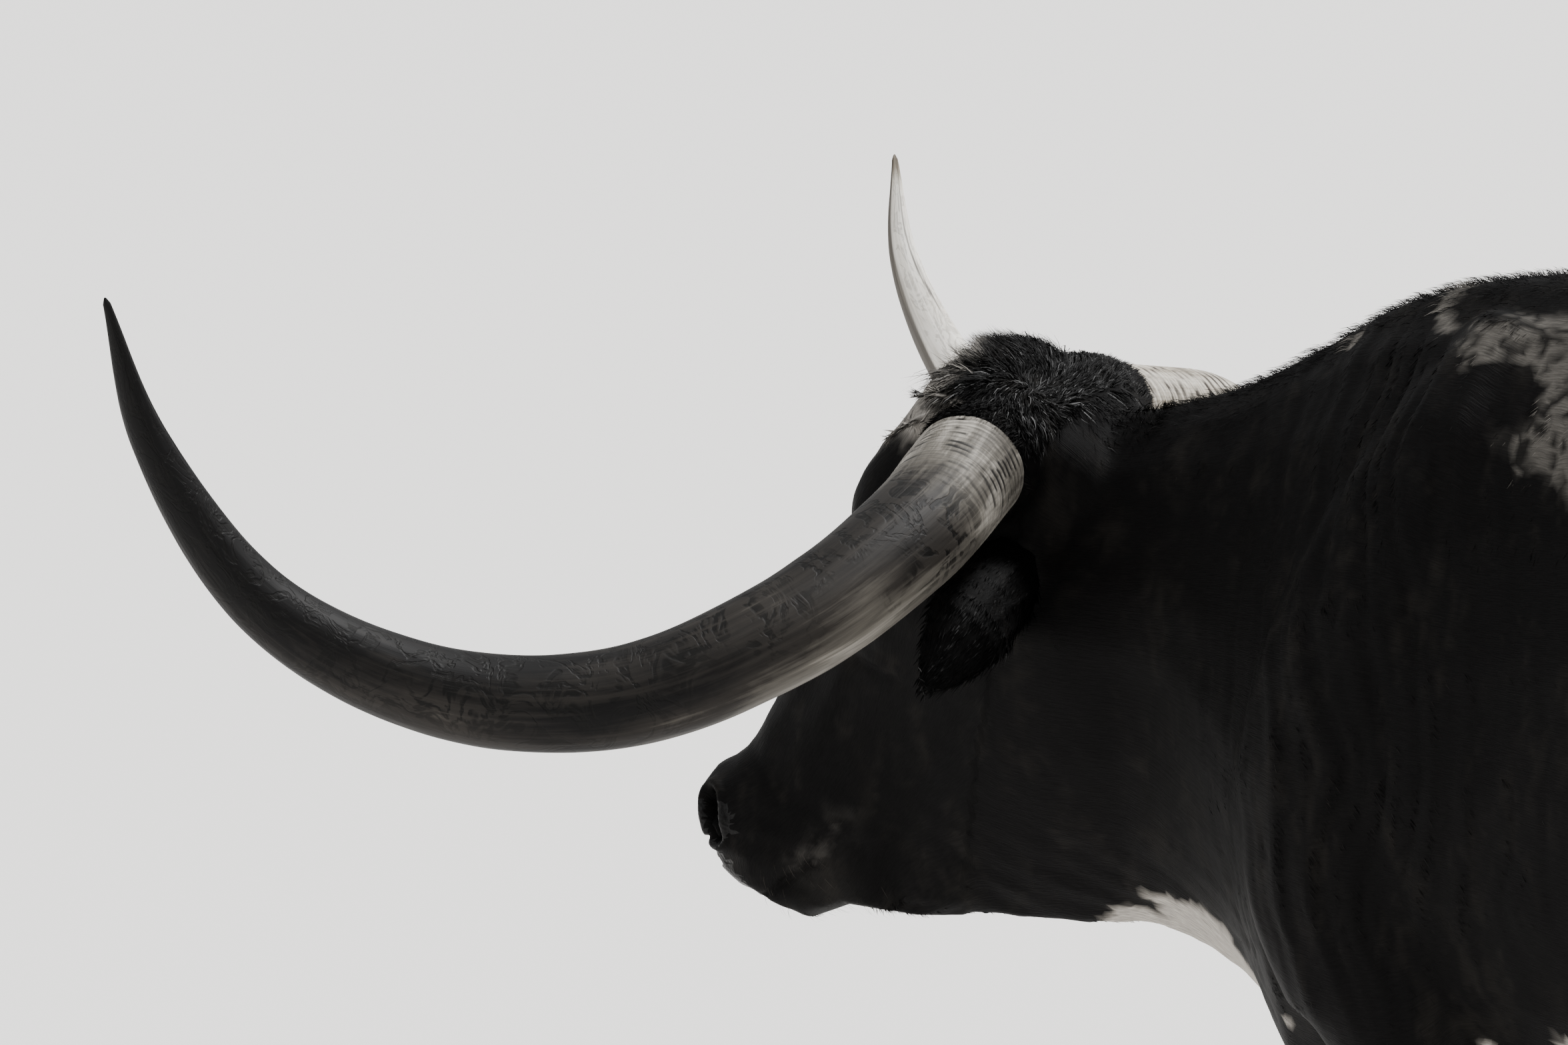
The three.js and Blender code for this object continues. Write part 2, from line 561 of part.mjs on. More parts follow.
// Ear: a leaf-shaped cup that hangs out sideways, open forwards and down
const ear = {
  root: { fore: -30, side: 78, height: -92 },
  tip: { fore: -22, side: 292, height: -186 },
  half: 50,
  wall: 8,
  cup: 0.5,
};
function earSolid(left) {
  const root = headPoint(ear.root.fore, ear.root.side * left, ear.root.height);
  const tip = headPoint(ear.tip.fore, ear.tip.side * left, ear.tip.height);
  const origin = headPoint(0, 0, 0);
  const axis = tip.clone().sub(root);
  const length = axis.length();
  axis.normalize();
  const openTo = headPoint(0.62, 0, -0.6).sub(origin);
  openTo.addScaledVector(axis, -openTo.dot(axis)).normalize();
  const across = new THREE.Vector3().crossVectors(axis, openTo).multiplyScalar(left).normalize();
  const steps = 13;
  const arc = 6;
  const rings = [];
  for (let i = 0; i <= steps; i += 1) {
    const t = i / steps;
    const leaf = Math.sin(Math.PI * lerp(0.2, 1, t ** 1.25)) ** 0.62;
    const half = ear.half * leaf * (t > 0.99 ? 0 : 1) + 2;
    const wrap = lerp(2.3, 0.8, smooth(t, 0.1, 0.7));
    const radius = half / Math.sin(Math.min(wrap, Math.PI / 2));
    const wall = Math.min(lerp(ear.wall, 4, t), radius * 0.4);
    const centre = root.clone().addScaledVector(axis, t * length).addScaledVector(up, 14 * Math.sin(Math.PI * t));
    const ring = [];
    const point = (turn, r) =>
      centre
        .clone()
        .addScaledVector(across, Math.sin(turn) * r)
        .addScaledVector(openTo, half * ear.cup - Math.cos(turn) * r);
    for (let k = 0; k <= arc; k += 1) ring.push(point(lerp(-wrap, wrap, k / arc), radius));
    for (let k = arc; k >= 0; k -= 1) ring.push(point(lerp(-wrap, wrap, k / arc), radius - wall));
    rings.push(ring);
  }
  return solid(loft(rings, true));
}

// Eyes, their sockets and lids
const eyePlace = (left) => facePoint(eye.along, eye.side * left, eye.over);
function ball(centre, radius, long = 1, wide = 12, high = 8) {
  const geometry = new THREE.SphereGeometry(radius, wide, high);
  geometry.scale(1, long, 1);
  geometry.translate(centre.x, centre.y, centre.z);
  return solid(geometry);
}
function lidSolid(left) {
  const centre = eyePlace(left);
  const outward = facePoint(0, left, 0.12).sub(facePoint(0, 0, 0)).normalize();
  const alongEye = facePoint(1, 0, -0.35).sub(facePoint(0, 0, 0)).normalize();
  const long = alongEye.addScaledVector(outward, -alongEye.dot(outward)).normalize();
  const high = new THREE.Vector3().crossVectors(outward, long).normalize();
  const rings = [];
  const steps = 16;
  for (let i = 0; i < steps; i += 1) {
    const angle = (i / steps) * 2 * Math.PI;
    const ring = [];
    const opening = vec(Math.cos(angle) * 22, Math.sin(angle) * 13.5, 0);
    for (let k = 0; k < 6; k += 1) {
      const turn = (k / 6) * 2 * Math.PI;
      const r = 1 + (Math.cos(turn) * 5.5) / opening.length();
      const depth = 12.5 + Math.sin(turn) * 5 - 0.012 * (opening.x * r) ** 2;
      ring.push(
        centre
          .clone()
          .addScaledVector(long, opening.x * r)
          .addScaledVector(high, opening.y * r)
          .addScaledVector(outward, depth),
      );
    }
    rings.push(ring);
  }
  return solid(closedRing(rings));
}
// A ring of sections that closes on itself
function closedRing(rings) {
  const count = rings[0].length;
  const faces = [];
  rings.forEach((_, r) => {
    for (let k = 0; k < count; k += 1) {
      const a = r * count + k;
      const b = r * count + ((k + 1) % count);
      const c = ((r + 1) % rings.length) * count + k;
      const d = ((r + 1) % rings.length) * count + ((k + 1) % count);
      faces.push(a, b, c, b, d, c);
    }
  });
  const geometry = new THREE.BufferGeometry().setFromPoints(rings.flat());
  geometry.setIndex(faces);
  return geometry;
}

// Nostril: a comma-shaped hollow that runs back and in from the muzzle's corner
function nostrilSolid(left) {
  const path = [
    { along: 566, side: 50, over: 40, long: 15, thin: 8 },
    { along: 545, side: 47, over: 41, long: 18, thin: 10 },
    { along: 520, side: 40, over: 42, long: 16, thin: 9 },
    { along: 495, side: 34, over: 42, long: 9, thin: 5 },
  ];
  const rings = path.map((p) => {
    const ring = [];
    for (let k = 0; k < 14; k += 1) {
      const angle = (k / 14) * 2 * Math.PI;
      const over = Math.cos(angle) * p.long;
      const side = Math.sin(angle) * p.thin + over * 0.28;
      ring.push(facePoint(p.along - over * 0.15, (p.side + side) * left, p.over + over));
    }
    return ring;
  });
  return solid(loft(rings));
}

// Tail and its switch
const tail = [
  { back: 1838, side: 0, height: 1346, deep: 38, broad: 40 },
  { back: 1900, side: 0, height: 1336, deep: 36, broad: 36 },
  { back: 1944, side: 0, height: 1290, deep: 30, broad: 29 },
  { back: 1962, side: -4, height: 1180, deep: 24, broad: 24 },
  { back: 1968, side: -10, height: 1020, deep: 20, broad: 20 },
  { back: 1964, side: -14, height: 860, deep: 17, broad: 17 },
  { back: 1960, side: -16, height: 720, deep: 15, broad: 15 },
];
const brush = [
  { back: 1960, side: -16, height: 720 - gap, deep: 15, broad: 15 },
  { back: 1958, side: -17, height: 640, deep: 26, broad: 28 },
  { back: 1955, side: -18, height: 520, deep: 33, broad: 35 },
  { back: 1950, side: -20, height: 410, deep: 26, broad: 28 },
  { back: 1946, side: -22, height: 330, deep: 12, broad: 13 },
  { back: 1944, side: -23, height: 290, deep: 4, broad: 4 },
];

// A lock of hair: a flat blade that tapers to its tip and sags. wide lies across the way it grows.
function lockSolid(root, grow, across, size) {
  const flat = new THREE.Vector3().crossVectors(grow, across).normalize();
  const shape = [
    { t: 0, wide: 0.7 },
    { t: 0.35, wide: 1 },
    { t: 0.7, wide: 0.66 },
    { t: 1, wide: 0.1 },
  ];
  const rings = shape.map(({ t, wide }) => {
    const centre = root.clone().addScaledVector(grow, size.long * t).addScaledVector(up, -size.sag * t * t);
    return [1, 0, -1, 0].map((part, k) =>
      centre
        .clone()
        .addScaledVector(across, (part * wide * size.wide) / 2)
        .addScaledVector(flat, (part ? 0 : k - 2) * (size.thick / 2) * (0.4 + 0.6 * wide)),
    );
  });
  return solid(loft(rings));
}

// The switch: locks hang from the tail's end, the lower ones over the upper, and end raggedly.
const switchLocks = { count: 17, top: 700, bottom: 400, long: 200, wide: 42, thick: 11 };
function switchSolid() {
  const draw = draws(7);
  const places = limbLoft(brush, 40, 12);
  const locks = [];
  for (let i = 0; i < switchLocks.count; i += 1) {
    const t = (i + draw()) / switchLocks.count;
    const height = lerp(switchLocks.top, switchLocks.bottom, t);
    const ring = places.find((r) => r[0].z < height) ?? places.at(-1);
    const middle = ring.reduce((sum, p) => sum.add(p), vec(0, 0, 0)).divideScalar(ring.length);
    const angle = i * 2.4 + draw();
    const outward = vec(Math.cos(angle), Math.sin(angle), 0);
    const radius = ring[0].distanceTo(middle);
    const root = middle.addScaledVector(outward, radius - 9);
    const grow = vec(0, 0, -1).addScaledVector(outward, lerp(0.16, 0.03, t)).normalize();
    const across = vec(-Math.sin(angle), Math.cos(angle), 0);
    const long = switchLocks.long * (0.75 + 0.5 * draw());
    const size = { long, wide: switchLocks.wide * (0.8 + 0.4 * draw()), thick: switchLocks.thick, sag: 0 };
    locks.push(lockSolid(vec(root.x + trunkShift, trunkLine.y + root.y, root.z), grow, across, size));
  }
  return join(limb(brush, 8, 8, -1, 0), ...locks);
}

// Poll hair: locks start round a whorl on the crown and fall forwards, outwards and back.
const pollLocks = { count: 24, long: 66, wide: 34, thick: 9 };
function pollHair() {
  const draw = draws(31);
  const locks = [];
  for (let i = 0; i < pollLocks.count; i += 1) {
    const t = lerp(-0.78, 0.78, (i + 0.5) / pollLocks.count);
    const angle = lerp(0.16, 0.8, (i * 0.618) % 1) * Math.PI;
    const full = Math.sqrt(1 - t * t);
    const root = pollPoint(t, angle, full, 0.9);
    const outward = pollPoint(t, angle, full, 1).sub(pollPoint(t, angle, full, 0.5)).normalize();
    const away = headPoint(0.75 * Math.cos(angle) + 0.55, t * 0.8, 0.1).sub(headPoint(0, 0, 0));
    away.addScaledVector(outward, -away.dot(outward)).normalize();
    const grow = away.addScaledVector(outward, 0.14 + 0.12 * draw()).normalize();
    const across = new THREE.Vector3().crossVectors(grow, outward).normalize();
    const long = pollLocks.long * (0.75 + 0.5 * draw());
    const size = { long, wide: pollLocks.wide * (0.8 + 0.4 * draw()), thick: pollLocks.thick, sag: long * 0.24 };
    locks.push(lockSolid(root, grow, across, size));
  }
  return join(...locks);
}

// Build: the trunk with its shoulder and haunch masses, grown by the gap where others meet it
function bodySolid(grow) {
  const sides = [1, -1];
  return join(
    trunkSolid(grow),
    ...sides.map((left) => limb(shoulder, 12, 16, left, grow)),
    ...sides.map((left) => limb(haunch, 12, 18, left, grow)),
    limb(sheath, 8, 10, 1, grow),
  );
}

// A cut plane through a place, facing away from normal; keeps the part on normal's side
function keep(made, place, normal) {
  const n = normal.clone().normalize();
  return made.trimByPlane([n.x, n.y, n.z], n.dot(place) + gap / 2);
}

const material = (color, roughness, metalness = 0) => new THREE.MeshStandardMaterial({ color, roughness, metalness });
const looks = {
  coat: material(0x17130f, 0.8),
  horn: material(0x8f8270, 0.5),
  eye: material(0x120c08, 0.1),
  hoof: material(0x2a2622, 0.5),
  hair: material(0x1b1612, 0.85),
};

const steer = new THREE.Group();
function add(name, made, look) {
  const mesh = new THREE.Mesh(geometryOf(largest(made)), look);
  if (made.isEmpty()) throw new Error(name + " came out empty");
  mesh.name = name;
  steer.add(mesh);
}

// Planes where head, neck and torso are named apart
const throatTop = bodyPoint(62, 0, 60);
const throatLow = bodyPoint(-75, 0, -480);
const shoulderTop = bodyPoint(400, 0, 230);
const shoulderLow = bodyPoint(285, 0, -600);
const planeThrough = (top, low) => {
  const across = vec(Math.sin(headTurn), -Math.cos(headTurn), 0);
  return new THREE.Vector3().crossVectors(top.clone().sub(low), across).normalize();
};
const headNormal = planeThrough(throatTop, throatLow);
if (headNormal.x > 0) headNormal.negate();
const neckNormal = new THREE.Vector3().crossVectors(shoulderTop.clone().sub(shoulderLow), vec(0, 1, 0)).normalize();
if (neckNormal.x > 0) neckNormal.negate();

const body = bodySolid(0);
const roots = [1, -1].map((left) => solid(hornRootLoft(left)));
const skull = join(solid(headLoft(0)), solid(pollLoft()), ...roots, pollHair());
const roomForEars = join(solid(headLoft(gap * 2)), ...roots, bodySolid(gap * 2));
const whole = join(body, skull);

// Head
let head = keep(whole, throatTop, headNormal);
for (const left of [1, -1]) {
  head = head.add(lidSolid(left));
  head = cut(head, ball(eyePlace(left), eyeRadius + gap), nostrilSolid(left));
}
for (const left of [1, -1]) {
  const earMade = earSolid(left);
  add(left > 0 ? "ear_left" : "ear_right", cut(earMade, roomForEars), looks.coat);
}
add("head", head, looks.coat);
for (const left of [1, -1]) {
  const name = left > 0 ? "left" : "right";
  add("eye_" + name, ball(eyePlace(left), eyeRadius), looks.eye);
  add("horn_" + name, solid(hornLoft(left, 32, 12, gap)), looks.horn);
}

// Neck and torso
add("neck", keep(keep(whole, throatTop, headNormal.clone().negate()), shoulderTop, neckNormal), looks.coat);
const tailMade = limb(tail, 18, 12, -1, 0);
add("torso", cut(keep(whole, shoulderTop, neckNormal.clone().negate()), limb(tail, 18, 12, -1, gap * 2)), looks.coat);
add("tail", tailMade, looks.coat);
add("tail_switch", switchSolid(), looks.hair);

// Legs
const grownBody = bodySolid(gap * 2);
const feet = [
  { name: "fore_left", places: forelegPlaces(-34), left: 1, knee: 440 },
  { name: "fore_right", places: forelegPlaces(30), left: -1, knee: 440 },
  { name: "hind_left", places: hindlegPlaces(28), left: 1, knee: 560 },
  { name: "hind_right", places: hindlegPlaces(-30), left: -1, knee: 560 },
];
for (const foot of feet) {
  const fetlock = foot.places.at(-4);
  const whole = cut(join(limb(foot.places, 26, 12, foot.left, 0), ...dewclaws(fetlock, foot.left)), grownBody);
  const end = foot.places.at(-1);
  const pastern = vec(0, 0, clawSize.height + gap * 1.5);
  const upper = keep(whole, vec(0, 0, foot.knee), up);
  const lower = keep(keep(whole, vec(0, 0, foot.knee), up.clone().negate()), pastern, up);
  add(foot.name + "_upper", upper, looks.coat);
  add(foot.name + "_lower", lower, looks.coat);
  for (const inner of [1, -1]) {
    const claw = clawSolid(end.back, end.side, foot.left, inner);
    add(foot.name + (inner > 0 ? "_claw_outer" : "_claw_inner"), claw, looks.hoof);
  }
}

// The origin is on the floor, under the middle of the whole animal.
const box = new THREE.Box3().setFromObject(steer);
const middle = box.getCenter(new THREE.Vector3());
steer.position.set(-middle.x, -middle.y, -box.min.z);

export default steer;
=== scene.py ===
# Texas longhorn steer: skin, short coat, poll and tail hair, horns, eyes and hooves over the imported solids
import json
import math

import bmesh
import bpy
import numpy as np
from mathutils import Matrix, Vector


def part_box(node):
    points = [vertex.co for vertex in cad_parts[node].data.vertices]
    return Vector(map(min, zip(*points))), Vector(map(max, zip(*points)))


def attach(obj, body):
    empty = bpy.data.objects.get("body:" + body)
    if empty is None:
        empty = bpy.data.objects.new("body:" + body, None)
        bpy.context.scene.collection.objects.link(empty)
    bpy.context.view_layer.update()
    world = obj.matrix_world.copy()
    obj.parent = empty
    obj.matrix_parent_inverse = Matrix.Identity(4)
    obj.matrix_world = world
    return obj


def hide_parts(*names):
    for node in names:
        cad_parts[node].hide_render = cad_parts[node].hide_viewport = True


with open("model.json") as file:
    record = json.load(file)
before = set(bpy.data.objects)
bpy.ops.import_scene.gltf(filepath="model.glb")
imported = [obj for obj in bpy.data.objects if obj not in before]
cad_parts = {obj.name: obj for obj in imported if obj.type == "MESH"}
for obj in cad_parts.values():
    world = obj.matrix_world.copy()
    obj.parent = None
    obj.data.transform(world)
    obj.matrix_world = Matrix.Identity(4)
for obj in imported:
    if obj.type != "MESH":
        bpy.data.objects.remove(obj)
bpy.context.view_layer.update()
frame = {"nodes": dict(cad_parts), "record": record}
draw = np.random.default_rng(11)

# same places and angles as the solids, in metres
pollAt = np.array([-0.6278, 0.1418, 1.225])
headTurn = math.radians(13.5)
headPitch = math.radians(57)
neckBend = 0.47
eyeSpot = {"along": 0.168, "side": 0.092, "over": 0.034}
nostrilSpot = {"along": 0.516, "side": 0.062, "over": 0.052}
fore = np.array([-math.cos(headTurn), -math.sin(headTurn), 0])
leftward = np.array([math.sin(headTurn), -math.cos(headTurn), 0])
upward = np.array([0.0, 0.0, 1.0])
downFace = fore * math.cos(headPitch) - upward * math.sin(headPitch)
offFace = fore * math.sin(headPitch) + upward * math.cos(headPitch)

# plan line of neck and back: straight body, neck bending to the head's turn
backTable = np.linspace(-0.6, 2.2, 900)
bend = np.clip((backTable + 0.06) / (neckBend + 0.06), 0, 1)
turnTable = headTurn * (1 - bend * bend * (3 - 2 * bend))
lineY = np.cumsum(np.sin(turnTable)) * (backTable[1] - backTable[0])
lineY -= np.interp(0, backTable, lineY)


def headCoords(points):
    rel = points - pollAt
    return rel @ downFace, rel @ leftward, rel @ offFace


def headSpot(along, side, over):
    return pollAt + downFace * along + leftward * side + offFace * over


def bodyCoords(points):
    rel = points - pollAt
    return rel[:, 0], np.interp(rel[:, 0], backTable, lineY) - rel[:, 1], rel[:, 2]


def headShare(points):
    # 1 on the head, 0 on the neck, running over across the throat
    rel = points - pollAt
    past = rel @ fore + 0.062 - (0.06 - rel[:, 2]) * 0.254
    return np.clip(past / 0.05 + 0.5, 0, 1)


def inHead(points):
    return headShare(points) > 0.5


def fade(x, a, b):
    t = np.clip((x - a) / (b - a), 0, 1)
    return t * t * (3 - 2 * t)


def blob(d, reach):
    return np.exp(-((d / reach) ** 2))


def noise(points, size, seed=0, stretch=(1, 1, 1)):
    # value noise from -1 to 1, on hashed lattice corners
    grid = points * np.array(stretch) / size + seed * 17.31
    cell = np.floor(grid).astype(np.int64)
    part = grid - cell
    part = part * part * (3 - 2 * part)
    total = np.zeros(len(points))
    for corner in range(8):
        step = np.array([corner & 1, corner >> 1 & 1, corner >> 2 & 1])
        key = (cell + step) @ np.array([73856093, 19349663, 83492791])
        key = ((key ^ (key >> 13)) * 1274126177) & 0x7FFFFFFF
        key = (key ^ (key >> 15)) & 0xFFFF
        total += key / 32767.5 * np.prod(np.where(step, part, 1 - part), axis=1)
    return total - 1


def cloud(points, size, seed=0, stretch=(1, 1, 1)):
    total = noise(points, size, seed, stretch)
    total = total + 0.5 * noise(points, size / 2.1, seed + 1, stretch)
    return (total + 0.25 * noise(points, size / 4.3, seed + 2, stretch)) / 1.5


def wayNoise(points, size, seeds):
    # three noises as a direction
    return np.stack([noise(points, size, seed) for seed in seeds], axis=1)


def toLinear(hexColour):
    parts = [int(hexColour[i : i + 2], 16) / 255 for i in (1, 3, 5)]
    return np.array([c / 12.92 if c <= 0.04045 else ((c + 0.055) / 1.055) ** 2.4 for c in parts])


def unit(vectors):
    return vectors / np.maximum(np.linalg.norm(vectors, axis=1, keepdims=True), 1e-9)


def blend(first, second, share):
    return first * (1 - share[:, None]) + second * share[:, None]


# markings, as functions of place: the same for skin and hair
tints = {
    "dark": "#0b0a0a",
    "brindle": "#1a1816",
    "white": "#b9b3aa",
    "grey": "#96918a",
    "bare": "#0b0a0a",
}
# the markings' edges and patches in metres, back from the poll and up from it
marks = {
    "saddleLow": (
        [0.53, 0.56, 0.6, 0.617, 0.65, 0.7, 0.9, 1.15, 1.4, 1.6],
        [0.17, 0.15, 0.12, 0.1, 0.08, 0.066, 0.0, -0.06, 0.06, 0.16],
    ),
    "saddleHigh": ([0.53, 0.57, 0.63, 0.75, 0.9, 1.0], [0.182, 0.194, 0.202, 0.215, 0.24, 0.4]),
    "saddleStart": (0.532, 0.6),
    "saddleEnd": 1.62,
    # share of white hair in the saddle: roan hair, dimmed further as painted shade
    "saddleWhiteInShade": 0.2,
    "crest": [
        (0.468, 0.187, 0.482, 0.215, 0.008),
        (0.468, 0.187, 0.483, 0.174, 0.006),
        (0.485, 0.175, 0.512, 0.172, 0.004),
    ],
    "throatEdge": ([0.06, 0.117, 0.162, 0.205, 0.252, 0.29], [-0.478, -0.434, -0.42, -0.421, -0.434, -0.475]),
    "stray": [
        (0.398, -0.477, 0.009, 0.007),
        (0.635, -0.45, 0.011, 0.012),
        (0.74, -0.43, 0.012, 0.014),
        (1.02, -0.5, 0.11, 0.05),
    ],
}


def between(x, y, ax, ay, bx, by, reach):
    # closeness to a line from a to b, 1 on it
    dx, dy = bx - ax, by - ay
    t = np.clip(((x - ax) * dx + (y - ay) * dy) / (dx * dx + dy * dy), 0, 1)
    return np.exp(-(((x - ax - t * dx) ** 2 + (y - ay - t * dy) ** 2) / reach**2))


def markings(points):
    # share of white and of grey hair at each point
    back, side, height = bodyCoords(points)
    along, headSide, over = headCoords(points)
    rough = cloud(points, 0.05, 3)
    left = side > 0
    # saddle: a speckled white patch over the shoulder and the back, with a dark bay in its front edge; its white share
    # is held low, partly for roan hair and partly as painted shade
    low, high = np.interp(back, *marks["saddleLow"]), np.interp(back, *marks["saddleHigh"])
    start = np.where(left, *marks["saddleStart"])
    inside = np.minimum(np.minimum((back - start) / 0.016, (high - height) / 0.009), (height - low) / 0.012)
    inside = np.minimum(inside, (marks["saddleEnd"] - back) / 0.03) + rough * 0.7
    bay = 1 - ((back - 0.594) / 0.056) ** 2 - ((height - 0.132) / 0.027) ** 2
    inside = np.where(left, np.minimum(inside, -3 * (bay + 0.25 * rough)), inside)
    ragged = noise(points, 0.009, 13, (1.4, 1.4, 0.45))
    saddle = fade(inside + 0.7 * ragged, -0.3, 0.8)
    flecks = noise(points, 0.011, 5, (1.5, 1.5, 0.6)) + 0.7 * noise(points, 0.0055, 8, (1.5, 1.5, 0.5))
    specks = fade(flecks + 0.4 * rough, -0.05, 0.4)
    # white share of the saddle held low: roan hair and painted shade
    white = saddle * (marks["saddleWhiteInShade"] - 0.18 * specks)
    # notch over the topline and a short streak before it
    crest = np.max([between(back, height, *line) for line in marks["crest"]], axis=0)
    crest = crest * fade(side, -0.06, -0.03)
    white = np.maximum(white, 0.25 * fade(crest + ragged * 0.3, 0.35, 0.8))
    streak = between(back, height, 0.366, 0.13, 0.371, 0.148, 0.0045) * (side > -0.02) * (side < 0.05)
    white = np.maximum(white, 0.35 * fade(streak + ragged * 0.2, 0.3, 0.7))
    # throat and dewlap
    edge = np.interp(back, *marks["throatEdge"])
    throat = np.minimum((edge - height) / 0.008, np.minimum(back - 0.066, 0.3 - back) / 0.012) + rough
    throat -= 4 * blob(back - 0.132, 0.024) * blob(height + 0.438, 0.006)
    white = np.maximum(white, fade(throat, -0.3, 0.6) * ~inHead(points))
    # stray patches low on the chest and flank
    for b, h, reachB, reachH in marks["stray"]:
        patch = blob(back - b, reachB) * blob(height - h, reachH)
        white = np.maximum(white, fade(patch + rough * 0.35, 0.45, 0.6) * (1 - 0.8 * specks))
    # forehead, beside the near horn's root, and the corner of the mouth
    tufted = noise(points, 0.012, 9, (1.5, 1.5, 0.5)) + 0.5 * noise(points, 0.006, 10, (2, 2, 0.6))
    brow = fade(along + 0.15 * over, -0.046, -0.026) * (1 - fade(along, 0.02, 0.075)) * fade(over, 0.036, 0.056)
    brow *= (1 - fade(headSide, 0.128, 0.15)) * fade(headSide, -0.05, 0.01)
    lock = between(along, headSide, 0.03, 0.085, 0.1, 0.075, 0.012)
    brow = np.maximum(brow, 0.7 * lock * fade(over, 0.05, 0.07))
    grey = 0.9 * fade(brow * (0.85 + 0.75 * tufted), 0.2, 1.2)
    corner = between(along, over, 0.492, -0.048, 0.43, -0.058, 0.021)
    grey = np.maximum(grey, 0.11 * fade(corner * (0.7 + 0.8 * tufted), 0.1, 1.3))
    grey = np.maximum(grey, 0.03 * blob(along - 0.5, 0.03) * blob(over + 0.07, 0.03))
    return white, np.where(inHead(points), grey, 0)


def hairColour(points, shade):
    white, grey = markings(points)
    streaked = points * np.array([2.6, 2.6, 0.8])
    brindle = fade(cloud(streaked, 0.06, 21) + 0.5 * noise(streaked, 0.012, 23), 0.0, 1.0)
    colour = toLinear(tints["dark"])
    for share, name in ((brindle, "brindle"), (grey, "grey"), (white, "white")):
        colour = blend(colour, toLinear(tints[name]), share)
    return colour * shade[:, None]


def newMaterial(name, roughness, gloss=0.5):
    material = bpy.data.materials.new(name)
    material.use_nodes = True
    sockets = material.node_tree.nodes["Principled BSDF"].inputs
    sockets["Roughness"].default_value = roughness
    sockets["Specular IOR Level"].default_value = gloss
    return material


def addNode(material, kind, inputs=None, **settings):
    # a node with its settings, and for each input a value or the output that feeds it
    node = material.node_tree.nodes.new("ShaderNode" + kind)
    for key, value in settings.items():
        setattr(node, key, value)
    for key, value in (inputs or {}).items():
        if isinstance(value, bpy.types.NodeSocket):
            material.node_tree.links.new(value, node.inputs[key])
        else:
            node.inputs[key].default_value = value
    return node


def connect(material, output, socket):
    # feeds one socket of the material's own shader
    material.node_tree.links.new(output, material.node_tree.nodes["Principled BSDF"].inputs[socket])


def scaledUv(material, uvName, across, along):
    # UV in metres, stretched so that one noise cell is across by along millimetres
    uv = addNode(material, "UVMap", uv_map=uvName)
    scale = (1000 / along, 1000 / across, 1)
    return addNode(material, "Mapping", {"Vector": uv.outputs["UV"], "Scale": scale}).outputs["Vector"]


def tintedMaterial(name, roughness, gloss):
    # coloured by the mesh's own tint
    material = newMaterial(name, roughness, gloss)
    tint = addNode(material, "Attribute", attribute_name="tint")
    connect(material, tint.outputs["Color"], "Base Color")
    return material


# short hair seen as a surface: matt, with a combed bump
hide = newMaterial("shortDarkHair", 0.62, 0.05)
tint = addNode(hide, "Attribute", attribute_name="tint")
combedUv, clumpUv = scaledUv(hide, "lay", 1.3, 14), scaledUv(hide, "lay", 7, 32)
combed = addNode(hide, "TexNoise", {"Vector": combedUv, "Scale": 1.0, "Detail": 4.0, "Roughness": 0.6})
clumps = addNode(hide, "TexNoise", {"Vector": clumpUv, "Scale": 1.0, "Detail": 3.0})
liftRange = {"From Min": 0.3, "From Max": 0.75, "To Min": 0.62, "To Max": 1.5}
lift = addNode(hide, "MapRange", {"Value": combed.outputs["Fac"], **liftRange})
lifted = {0: tint.outputs["Color"], "Scale": lift.outputs["Result"]}
paint = addNode(hide, "VectorMath", lifted, operation="SCALE")
connect(hide, paint.outputs["Vector"], "Base Color")
bothBumps = addNode(hide, "Math", {0: combed.outputs["Fac"], 1: clumps.outputs["Fac"]}, operation="ADD")
bump = addNode(hide, "Bump", {"Height": bothBumps.outputs["Value"], "Strength": 0.55, "Distance": 0.0016})
connect(hide, bump.outputs["Normal"], "Normal")

# single hairs and locks are matt; long coarse hair of the crown and the tail is a little glossier
hair = tintedMaterial("coarseHair", 0.6, 0.06)
crownHair = tintedMaterial("glossyLongHair", 0.42, 0.09)

# bare wet skin of the muzzle, lids and nostrils: fine cobbled bump
bare = tintedMaterial("bareMuzzleSkin", 0.45, 0.15)
place = addNode(bare, "TexCoord")
cobble = addNode(bare, "TexVoronoi", {"Vector": place.outputs["Object"], "Scale": 310.0})
bareBump = addNode(bare, "Bump", {"Height": cobble.outputs["Distance"], "Strength": 0.5, "Distance": 0.0012})
connect(bare, bareBump.outputs["Normal"], "Normal")
